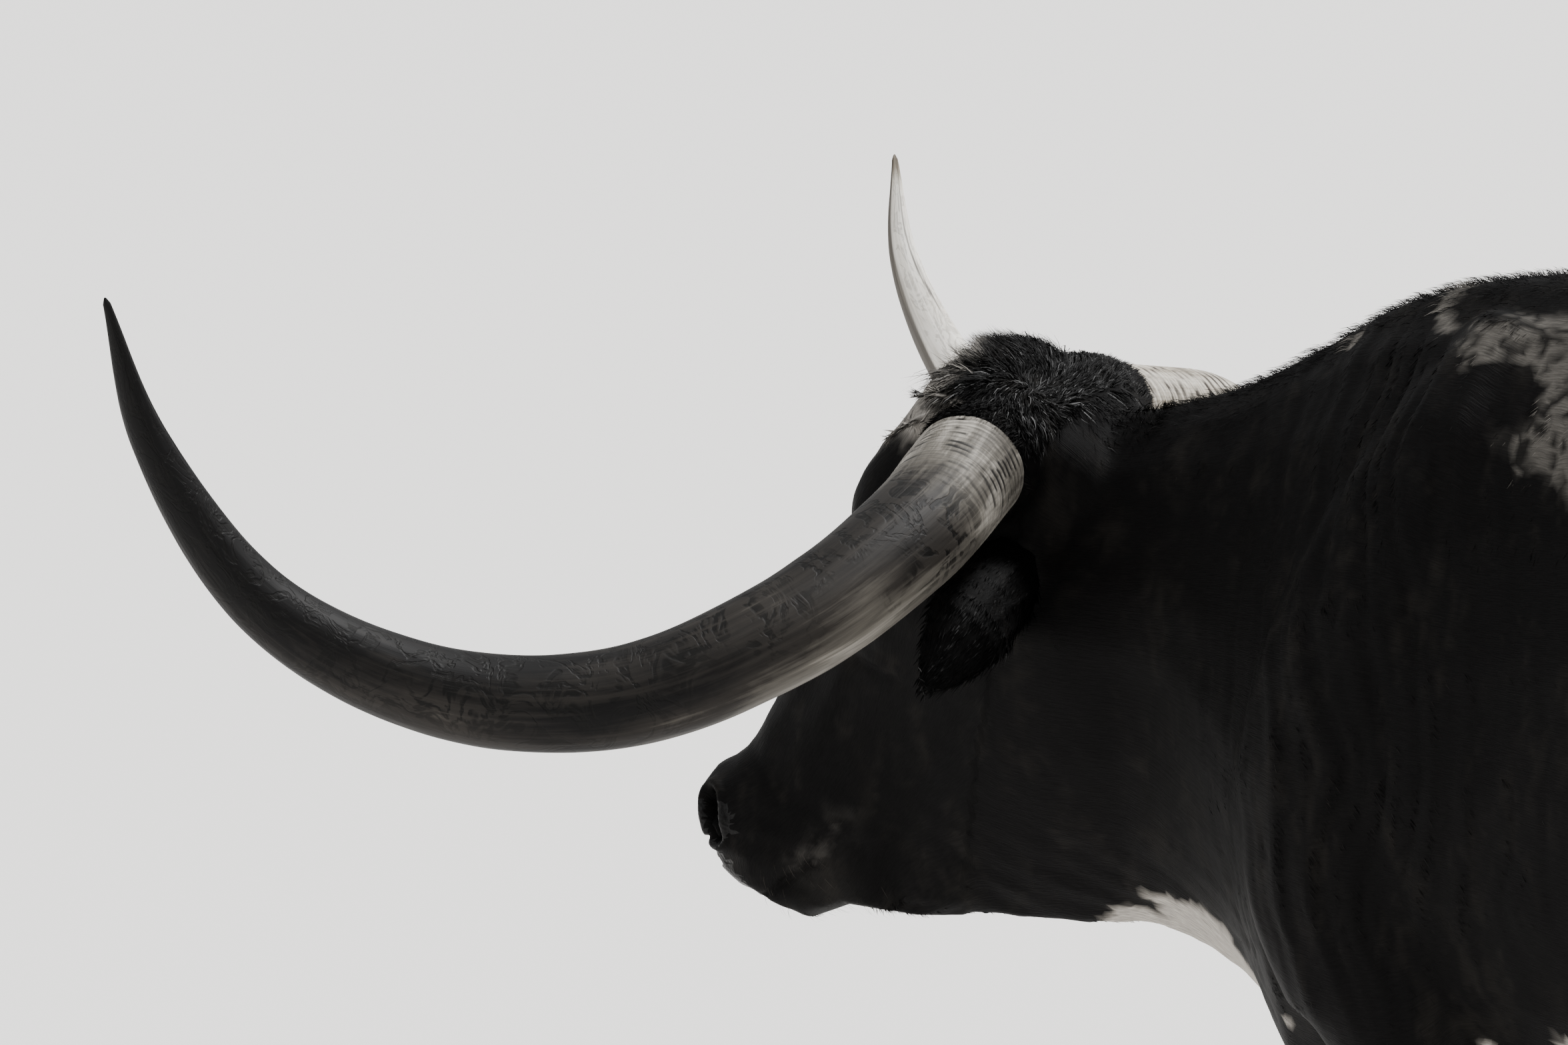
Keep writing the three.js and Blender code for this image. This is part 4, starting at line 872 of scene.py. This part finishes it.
# poll: shaggy hair round a whorl, longest in front, and a collar round each horn's root
pollSettings = {"count": 27500, "long": 0.038, "wide": 0.0012, "rise": 0.3}
density = head * fade(-along, 0.022, 0.042) * fade(0.2 - np.abs(headSide), 0, 0.03)
roots, normals, nearest = scatter(skin, density + 1e-9, int(pollSettings["count"] * few))
n = len(roots)
a, s, o = headCoords(roots)
sizes = sizesFor(n, pollSettings)
sizes["long"] *= (0.65 + 0.55 * blob(s + 0.01, 0.08)) * (0.6 + 0.6 * fade(o, 0.0, 0.09))
sizes["long"] *= 1 - 0.35 * fade(np.abs(s), 0.11, 0.15)
fromWhorl = blob(np.linalg.norm(roots - whorlAt, axis=1), 0.045)
sizes["rise"] *= 1 + 1.3 * fromWhorl
sizes["sag"] = sizes["long"] * 0.25
wave = draw.normal(0, 1, (n, 3))


def pollCurl(t, long):
    return wave * (0.1 * long * t * math.sin(t * 4))[:, None]


sizes["curl"] = pollCurl
ways = flow(roots, normals) + 0.45 * wayNoise(roots, 0.019, (91, 93, 95))
# random tone, mostly dark with a few bright strands, brighter round the whorl: painted glints on the crown hair
pollToneAndGlints = (0.2 + 0.6 * draw.random(n) ** 2.5) * (1 + 0.9 * fromWhorl) * (1 + 0.4 * noise(roots, 0.014, 96))
colours = hairColour(roots, pollToneAndGlints)
strands("pollHair", roots, normals, ways, sizes, colours, skinUv(nearest), joints=4, material=crownHair, turn=0.5)

# forelock: the spiky tuft that stands up in front of the crown
forelockSettings = {"count": 2400, "long": 0.03, "wide": 0.0011, "rise": 0.75}
density = head * blob(headSide + 0.005, 0.035) * blob(along + 0.047, 0.013) * fade(over, 0.02, 0.06)
roots, normals, nearest = scatter(skin, density + 1e-9, int(forelockSettings["count"] * few))
sizes = sizesFor(len(roots), forelockSettings)
ways = fore + 0.3 * upward + 0.5 * wayNoise(roots, 0.012, (97, 98, 99))
colours = hairColour(roots, draw.uniform(0.3, 1.2, len(roots)))
strands("forelock", roots, normals, ways, sizes, colours, skinUv(nearest), joints=4, material=crownHair, turn=0.5)

# a dark collar round each horn's root, lying out along the horn
collarSettings = {"count": 9000, "long": 0.014, "wide": 0.0009, "rise": 0.2}
rootFore, rootUp = (points - pollAt) @ fore, points[:, 2] - pollAt[2]
fromAxis = np.hypot(rootFore + 0.004, rootUp)
density = head * fade(np.abs(headSide), 0.11, 0.135) * (1 - fade(fromAxis, 0.062, 0.082))
roots, normals, nearest = scatter(skin, density + 1e-9, int(collarSettings["count"] * few))
outward = np.where(((roots - pollAt) @ leftward > 0)[:, None], leftward, -leftward)
radial = roots - pollAt
radial = unit(radial - outward * (radial * outward).sum(axis=1, keepdims=True))
sizes = sizesFor(len(roots), collarSettings)
ways = outward + 0.25 * noise(roots, 0.012, 88)[:, None] * upward
colours = toLinear(tints["dark"]) * draw.uniform(0.8, 2.0, len(roots))[:, None]
strands("hornCollars", roots, unit(normals + radial), ways, sizes, colours, skinUv(nearest), joints=2)

# ears: short on the back, a fringe at the rims and inside; both dimmed as painted shadow of the horn
outAlong = np.abs((pointsOf(ears) - pollAt) @ leftward)
roots, normals, _ = scatter(ears, fade(outAlong, 0.09, 0.11) + 1e-9, int(earSettings["count"] * few))
onLeft = ((roots - pollAt) @ leftward > 0)[:, None]
earWay = np.where(onLeft, leftward, -leftward) * 0.9 - upward * 0.4 + noise(roots, 0.02, 101)[:, None] * 0.2
earWay = unit(earWay - normals * (earWay * normals).sum(axis=1, keepdims=True))
sizes = sizesFor(len(roots), earSettings)
earU = np.where(onLeft[:, 0], 0.39, 0.425) + 0.02 * fade((roots - pollAt) @ fore, -0.08, 0.06)
earV = 0.02 + 0.36 * fade(np.abs((roots - pollAt) @ leftward), 0.08, 0.31)
earUv = np.stack([earU, earV], axis=1)
# ear hair dimmed to 0.2 to 0.5 brightness: painted shadow of the near horn
strands("earHair", roots, normals, earWay, sizes, hairColour(roots, draw.uniform(0.2, 0.5, len(roots))), earUv)
inner = normals @ (fore * 0.6 - upward * 0.6)
rim = (np.abs(normals @ (fore * 0.6 + upward * 0.6)) > 0.45) | (inner > 0.55)
pick = np.nonzero(rim)[0][: int(fringeSettings["count"] * few) + 1]
sizes = sizesFor(len(pick), fringeSettings)
# fringe dimmed likewise: painted shadow of the near horn
colours = hairColour(roots[pick], draw.uniform(0.3, 0.9, len(pick)))
ways = earWay[pick] + (fore - upward) * 0.35
strands("earFringe", roots[pick], normals[pick], ways, sizes, colours, earUv[pick], joints=3)

# whiskers on lips and chin
whiskerSettings = {"count": 150, "long": 0.017, "wide": 0.0004, "rise": 1.1, "sag": 0.002, "colour": "#3d3935"}
density = head * fade(along, 0.46, 0.5) * fade(-over, -0.02, 0.05) * (1 - bareShare)
roots, normals, nearest = scatter(skin, density + 1e-9, whiskerSettings["count"])
sizes = sizesFor(len(roots), whiskerSettings)
colours = np.tile(toLinear(whiskerSettings["colour"]), (len(roots), 1))
strands("whiskers", roots, normals, flow(roots, normals), sizes, colours, skinUv(nearest), joints=3)
print("long hair on the head", sum(coatFaces))

# tail switch: long wavy strands from the tail's end
switchBox = np.array([list(c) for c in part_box("tail_switch")])
switchMid = switchBox.mean(axis=0)
switchSettings = {"count": 3400, "top": 0.80, "bottom": 0.28, "wide": 0.0022, "colour": "#191614"}
n = int(switchSettings["count"] * (1))
share = draw.random(n) ** 1.4
angle = draw.uniform(0, 2 * math.pi, n)
ring = np.stack([np.cos(angle), np.sin(angle), np.zeros(n)], axis=1)
tailTop = switchSettings["top"] - 0.2 * share
core = np.array([switchMid[0], switchMid[1], 0.0]) + ring * (0.011 + 0.016 * share[:, None] * draw.random((n, 1)))
roots = core + upward * tailTop[:, None]
ways = -upward + ring * (0.05 + 0.1 * draw.random((n, 1))) + draw.normal(0, 0.025, (n, 3))
long = np.clip((tailTop - switchSettings["bottom"]) * draw.uniform(0.55, 1.0, n), 0.05, 0.5)
phase = noise(roots, 0.02, 111, (1, 1, 0.3)) * 3
waveWay = np.cross(ring, upward)


def switchCurl(t, long):
    sway = 0.011 * np.sin(t * 9 + phase) * t + 0.004 * np.sin(t * 23 + phase * 2) * t
    return waveWay * sway[:, None] - ring * (0.045 * t * t * (long / 0.5))[:, None]


sizes = {"long": long, "wide": np.full(n, switchSettings["wide"]), "rise": np.zeros(n), "sag": np.zeros(n)}
sizes["curl"] = switchCurl
switchColour = toLinear(switchSettings["colour"]) * draw.uniform(0.6, 2.0, n)[:, None]
switchUv = np.stack([0.905 + 0.08 * angle / (2 * math.pi), 0.02 + 0.2 * share], axis=1)
longLooks = {"joints": 10, "material": crownHair, "slotName": "long_hair", "turn": 0.5}
tailHair = strands("tailHair", roots, ring, ways, sizes, switchColour, switchUv, **longLooks)
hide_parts("tail_switch")
print("tail switch", sum(coatFaces))

# horns: fine lofts on the same bends as the solids
hornSettings = {
    "rows": 340,
    "sides": 88,
    "ringPitch": 0.0115,
    "fineRingPitch": 0.0052,
    "ringHeight": 0.0011,
    "fibreHeight": 0.00028,
    "dentHeight": 0.0012,
    "uvRadius": 0.045,
}
hornBends = np.array(
    [
        (0.151, 0.0, 0.0, 0.0545),
        (0.326, -0.026, -0.034, 0.0528),
        (0.476, 0.023, -0.097, 0.0503),
        (0.587, 0.136, -0.147, 0.0462),
        (0.671, 0.273, -0.137, 0.041),
        (0.735, 0.408, -0.060, 0.0315),
        (0.785, 0.493, 0.088, 0.0178),
        (0.829, 0.508, 0.223, 0.003),
    ]
)
rightTip = np.array([-0.032, 0.065, -0.091])


def smoothPath(knots, steps):
    # a curve through the knots, evenly stepped by length
    spans = np.linalg.norm(np.diff(knots[:, :3], axis=0), axis=1) ** 0.5
    at = np.concatenate([[0], np.cumsum(spans)])
    fine = np.linspace(0, at[-1], 1200)
    slopes = np.gradient(knots, at, axis=0)
    index = np.clip(np.searchsorted(at, fine, side="right") - 1, 0, len(at) - 2)
    h = (at[index + 1] - at[index])[:, None]
    t = ((fine - at[index]) / h[:, 0])[:, None]
    curve = (1 + 2 * t) * (1 - t) ** 2 * knots[index] + t * (1 - t) ** 2 * h * slopes[index]
    curve += t * t * (3 - 2 * t) * knots[index + 1] + t * t * (t - 1) * h * slopes[index + 1]
    length = np.concatenate([[0], np.cumsum(np.linalg.norm(np.diff(curve[:, :3], axis=0), axis=1))])
    want = np.linspace(0, length[-1], steps)
    return np.stack([np.interp(want, length, curve[:, k]) for k in range(4)], axis=1), length[-1]


def makeHorn(name, isLeft, material, node):
    rows, sides = ((hornSettings["rows"], hornSettings["sides"]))
    knots = hornBends.copy()
    if not isLeft:
        share = (np.arange(8) / 7) ** 2
        knots[:, :3] += share[:, None] * rightTip
        knots[:, 3] *= 0.96
    sign = 1 if isLeft else -1
    world = np.array([pollAt + fore * k[1] + leftward * k[0] * sign + upward * k[2] for k in knots])
    path, length = smoothPath(np.concatenate([world, knots[:, 3:]], axis=1), rows)
    # rows closer together at the root, where the growth rings are
    even = np.linspace(0, 1, rows)
    t = 0.4 * even + 0.6 * even**2
    path = np.stack([np.interp(t, even, column) for column in path.T], axis=1)
    t = t[:, None]
    centre, radius = path[:, :3], path[:, 3]
    radius[-1] = 0.0012
    ahead = unit(np.gradient(centre, axis=0))
    normal = np.zeros_like(centre)
    normal[0] = unit(np.cross(ahead[0], upward)[None])[0]
    for i in range(1, rows):
        normal[i] = normal[i - 1] - ahead[i] * (normal[i - 1] @ ahead[i])
        normal[i] /= np.linalg.norm(normal[i])
    binormal = np.cross(ahead, normal)
    angle = np.linspace(0, 2 * math.pi, sides, endpoint=False)
    around = np.cos(angle) * 0.05, np.sin(angle) * 0.05
    spot = np.stack(np.broadcast_arrays(t * length, *around), axis=2).reshape(-1, 3)
    seed = 121 if isLeft else 141
    # growth rings near the root, worn and broken; long fibres; shallow dents
    warp = 0.006 * noise(spot, 0.05, seed)
    ringTurn = (spot[:, 0] + warp) * 2 * math.pi / hornSettings["ringPitch"]
    rings = np.sin(ringTurn) * np.clip(1 - spot[:, 0] / 0.2, 0, 1) ** 1.2
    rings *= 0.35 + 0.65 * fade(noise(spot, 0.03, seed + 1), -0.4, 0.4)
    fibre = noise(spot, 0.004, seed + 2, (0.05, 1, 1))
    dents = cloud(spot, 0.05, seed + 3, (0.5, 1, 1))
    relief = hornSettings["ringHeight"] * rings + hornSettings["fibreHeight"] * fibre
    relief = (relief + hornSettings["dentHeight"] * dents).reshape(rows, sides)
    radiusGrid = radius[:, None] + relief * np.clip(radius[:, None] / 0.03, 0, 1)
    acrossGrid = (np.cos(angle) * radiusGrid)[:, :, None]
    upGrid = (np.sin(angle) * radiusGrid * 0.97)[:, :, None]
    grid = centre[:, None] + normal[:, None] * acrossGrid + binormal[:, None] * upGrid
    points = np.concatenate([grid.reshape(-1, 3), centre[:1] - ahead[:1] * 0.004, centre[-1:] + ahead[-1:] * 0.001])
    piece = newPiece(name, points, closedTube(rows, sides), material)
    uvRadius = hornSettings["uvRadius"]
    uvPoint = np.stack([spot[:, 0], np.tile(angle * uvRadius, rows)], axis=1)
    uvPoint = np.concatenate([uvPoint, [[0, 0], [length, 0]]])
    setUv(piece, "grain", uvPoint, np.full(len(points), 2 * math.pi * uvRadius))
    # wear and painted shade: red darkens the ramp, on the near horn also as painted shade on its top side; green
    # allows cracks; blue is a dark mark, on the far horn also painted shade down its side
    tFlat = spot[:, 0] / length
    under = (-normalsOf(piece)[: rows * sides] @ upward + 1) / 2
    topSide = 1 - fade(under, 0.5, 0.78)
    mottle = cloud(spot, 0.06, seed + 5, (0.35, 1, 1))
    # near horn: darker towards the tip and mottled; the top side darker than the underside, most in the middle, as
    # painted shade on top and painted ground light underneath
    if isLeft:
        darken = -0.12 + fade(tFlat, 0.07, 0.2) * (0.3 + 0.4 * topSide) + 0.42 * mottle
        darken += 0.5 * fade(tFlat, 0.32, 0.55) * (1 - 0.5 * topSide) + 0.38 * fade(tFlat, 0.6, 0.97)
    else:
        darken = -0.2 + 0.2 * mottle + 0.9 * fade(tFlat, 0.96, 1.0) + 0.5 * (1 - fade(tFlat, 0.2, 0.4))
    darken += 0.1 * rings
    crack = fade(cloud(spot, 0.08, seed + 7), -0.7, -0.1) * fade(tFlat, 0.08, 0.16)
    crack *= (0.35 + 0.65 * topSide) * (1.0 if isLeft else 0.3)
    dashes = fade(noise(spot, 0.014, seed + 9, (1.6, 1, 1)), -0.3, 0.1)
    dashes *= fade(noise(spot, 0.02, seed + 10, (0.4, 1, 1)), -0.6, 0.0)
    reach = 0.2 if isLeft else 0.34
    ringMarks = 0.97 * fade(-np.sin(ringTurn), 0.0, 0.5) * dashes * (1 - fade(spot[:, 0], reach * 0.4, reach))
    fineTurn = (spot[:, 0] + warp * 1.3) * 2 * math.pi / hornSettings["fineRingPitch"]
    fineRings = 0.5 * fade(np.sin(fineTurn), 0.2, 0.9) * (1 - fade(spot[:, 0], 0.05, reach))
    ringMarks = np.maximum(ringMarks, fineRings)
    if not isLeft:
        # painted shade: a dark stripe down the side turned away from the light
        stripe = normalsOf(piece)[: rows * sides] @ np.array([-0.743, -0.669, 0.0])
        worn = noise(spot, 0.014, seed + 12, (0.12, 1, 1))
        paintedShadeStripe = 0.92 * fade(stripe + 0.14 * worn, 0.45, 0.82) * fade(tFlat, 0.45, 0.55)
        groove = np.abs(stripe + 0.5 + 0.16 * noise(spot, 0.02, seed + 13, (0.5, 0, 0)))
        grooved = 0.8 * (1 - fade(groove, 0.03, 0.09)) * fade(tFlat, 0.7, 0.8) * fade(worn, -0.5, 0.1)
        # grey streaks thickening towards the side away from the light: streaky marks and painted shade
        streaked = 0.4 * fade(worn + 0.5 * stripe, 0.35, 0.75) * fade(tFlat, 0.5, 0.6)
        for mark in (paintedShadeStripe, grooved, streaked):
            ringMarks = np.maximum(ringMarks, mark)
    wearAndShade = np.stack([darken, np.clip(crack, 0, 1), ringMarks], axis=1)
    setTint(piece, np.concatenate([wearAndShade, wearAndShade[:1], wearAndShade[-1:]]), "wearAndShade")
    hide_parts(node)


makeHorn("nearHorn", True, nearHorn, "horn_left")
makeHorn("farHorn", False, farHorn, "horn_right")
print("horns made")

# eyes and lids
eyeTints = {"white": "#3c322c", "iris": "#2b1a10", "pupil": "#020203", "lids": "#16120f"}
# the lids' section: angle out from the opening's edge, distance from the eye's middle
lidAngles = [0.0, 0.0, 0.05, 0.12, 0.2, 0.26, 0.32, 0.4, 0.48, 0.6, 0.75, 0.95]
lidRadii = [0.02, 0.0214, 0.0228, 0.0238, 0.0238, 0.0233, 0.0241, 0.0242, 0.0235, 0.0236, 0.0225, 0.0205]
lashSettings = {"count": 90, "long": 0.01, "wide": 0.0005, "rise": 0.8, "sag": 0.003, "colour": "#141110"}


def makeEye(name, isLeft, node):
    low, high = (np.array(c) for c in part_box(node))
    middle = (low + high) / 2
    sign = 1 if isLeft else -1
    gaze = leftward * sign * 0.93 + downFace * 0.18 + offFace * 0.3
    gaze /= np.linalg.norm(gaze)
    level = downFace - gaze * (downFace @ gaze)
    level /= np.linalg.norm(level)
    rise = np.cross(gaze, level) * sign

    def onBall(radius, polar, turn):
        across, tall = np.sin(polar) * np.cos(turn), np.sin(polar) * np.sin(turn)
        return middle + radius * (np.cos(polar)[:, None] * gaze + across[:, None] * level + tall[:, None] * rise)

    rows, cols = 36, 56
    theta = np.linspace(0, math.pi, rows + 1)[1:-1]
    phi = np.linspace(0, 2 * math.pi, cols, endpoint=False)
    tt, pp = (x.ravel() for x in np.meshgrid(theta, phi, indexing="ij"))
    bulge = 0.0203 + 0.0012 * blob(tt, 0.55)
    ball = onBall(bulge[:, None], tt, pp)
    ball = np.concatenate([ball, [middle + gaze * 0.0215], [middle - gaze * 0.0203]])
    faces = closedTube(len(theta), cols)
    eye = newPiece(name, ball, faces[:, ::-1] if isLeft else faces, eyeMaterial)
    across, tall = np.sin(tt) * np.cos(pp), np.sin(tt) * np.sin(pp)
    pupil = fade(1 - np.sqrt((across / 0.3) ** 2 + (tall / 0.15) ** 2), -0.1, 0.1)
    iris = fade(0.62 - np.hypot(across, tall), 0, 0.05)
    rays = 0.8 + 0.3 * noise(np.stack([pp * 3, tt, tt * 0], axis=1), 0.12, 151)
    colour = blend(toLinear(eyeTints["white"]), toLinear(eyeTints["iris"]) * rays[:, None], iris)
    colour = blend(colour, toLinear(eyeTints["pupil"]), pupil)
    setTint(eye, np.concatenate([colour, colour[:1], colour[-1:]]))
    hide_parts(node)
    # lids: a shell round the ball with an almond opening, thick at its edge, running into the face
    turns = 72
    phi = np.linspace(0, 2 * math.pi, turns, endpoint=False)
    opening = np.where(np.sin(phi) > 0, 0.62, 0.5)
    opening = 1 / np.sqrt((np.cos(phi) / 1.02) ** 2 + (np.sin(phi) / opening) ** 2)
    points = np.concatenate([onBall(radius, opening + step, phi) for step, radius in zip(lidAngles, lidRadii)])
    faces = ringFaces(len(lidAngles), turns)
    lids = newPiece("lids" + name[3:], points, faces[:, ::-1] if isLeft else faces, bare)
    setTint(lids, np.tile(toLinear(eyeTints["lids"]), (len(points), 1)))
    # lashes on the upper lid
    n = lashSettings["count"]
    pick = draw.uniform(0.15, math.pi - 0.15, n)
    root = onBall(0.0222, np.interp(pick, phi, opening), pick)
    sizes = sizesFor(n, lashSettings)
    ways = np.tile(gaze * 0.6 - rise * 0.25, (n, 1))
    colours = np.tile(toLinear(lashSettings["colour"]), (n, 1))
    strands("lashes" + name[3:], root, unit(root - middle), ways, sizes, colours, np.full((n, 2), 0.2), joints=3)


makeEye("eyeLeft", True, "eye_left")
makeEye("eyeRight", False, "eye_right")

# hooves, with growth rings
hoofSettings = {"voxel": 0.003, "ringPitch": 0.0085}
clawNodes = [n for n in frame["nodes"] if "claw" in n]
hooves = joinedCopy(clawNodes, "hooves")
hooves.data.materials.clear()
hooves.data.materials.append(hoof)
remesh(hooves, hoofSettings["voxel"])
relax(hooves, np.full(len(hooves.data.vertices), 0.5), 5)
clawPoints = pointsOf(hooves)
clawNormals = normalsOf(hooves)
ringsUp = (clawPoints[:, 2] + 0.003 * noise(clawPoints, 0.03, 161)) * 2 * math.pi / hoofSettings["ringPitch"]
clawPoints += clawNormals * (0.0005 * np.sin(ringsUp) * fade(clawPoints[:, 2], 0.004, 0.012))[:, None]
clawPoints[:, 2] = np.maximum(clawPoints[:, 2], 0.0)
putPoints(hooves, clawPoints)
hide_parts(*clawNodes)
print("eyes and hooves made")

# floor, light, camera
stageSettings = {
    "floorHalf": 150,
    "floorColour": "#f1efec",
    "skyColour": "#f7f8f9",
    "skyStrength": 0.8,
    "sunStrength": 6.0,
    "sunAngle": 14,
    "sunWay": (-0.17, -0.55, -0.9),
    "fillPower": 120,
    "fillSize": 4.0,
    "fillFrom": (-1.5, -6.0, 4.5),
    "fillTo": (-0.2, 0.1, 1.0),
    "lens": 143.27,
    "cameraFromPoll": (3.757, -4.540, 1.157),
    "cameraWay": (-0.65483, 0.72726, -0.20567),
}
half = stageSettings["floorHalf"]
floor = bpy.data.meshes.new("floor")
floor.from_pydata([(-half, -half, 0), (half, -half, 0), (half, half, 0), (-half, half, 0)], [], [(0, 1, 2, 3)])
floorPiece = addObject("floor", floor)
floorMaterial = newMaterial("paleFloor", 0.9)
floorSockets = floorMaterial.node_tree.nodes["Principled BSDF"].inputs
floorSockets["Base Color"].default_value = (*toLinear(stageSettings["floorColour"]), 1)
floor.materials.append(floorMaterial)

world = bpy.data.worlds.new("studio")
bpy.context.scene.world = world
world.use_nodes = True
sky = world.node_tree.nodes["Background"]
sky.inputs["Color"].default_value = (*toLinear(stageSettings["skyColour"]), 1)
sky.inputs["Strength"].default_value = stageSettings["skyStrength"]


def aim(piece, way):
    # lamps and cameras look down their own -Z
    piece.rotation_euler = Vector(way).to_track_quat("-Z", "Y").to_euler()


sun = bpy.data.lights.new("softKey", "SUN")
sun.energy = stageSettings["sunStrength"]
sun.angle = math.radians(stageSettings["sunAngle"])
aim(addObject("softKey", sun), stageSettings["sunWay"])

fill = bpy.data.lights.new("softFill", "AREA")
fill.size = stageSettings["fillSize"]
fill.energy = stageSettings["fillPower"]
fillLamp = addObject("softFill", fill)
fillLamp.location = stageSettings["fillFrom"]
aim(fillLamp, Vector(stageSettings["fillTo"]) - Vector(stageSettings["fillFrom"]))

camera = bpy.data.cameras.new("photoCamera")
camera.lens = stageSettings["lens"]
camera.sensor_width = 36
camera.sensor_fit = "HORIZONTAL"
camera.clip_end = 500
cameraPiece = addObject("photoCamera", camera)
cameraPiece.location = Vector(pollAt) + Vector(stageSettings["cameraFromPoll"])
aim(cameraPiece, stageSettings["cameraWay"])
bpy.context.scene.camera = cameraPiece

print("coat triangles", sum(coatFaces), "piece triangles", max(coatFaces))
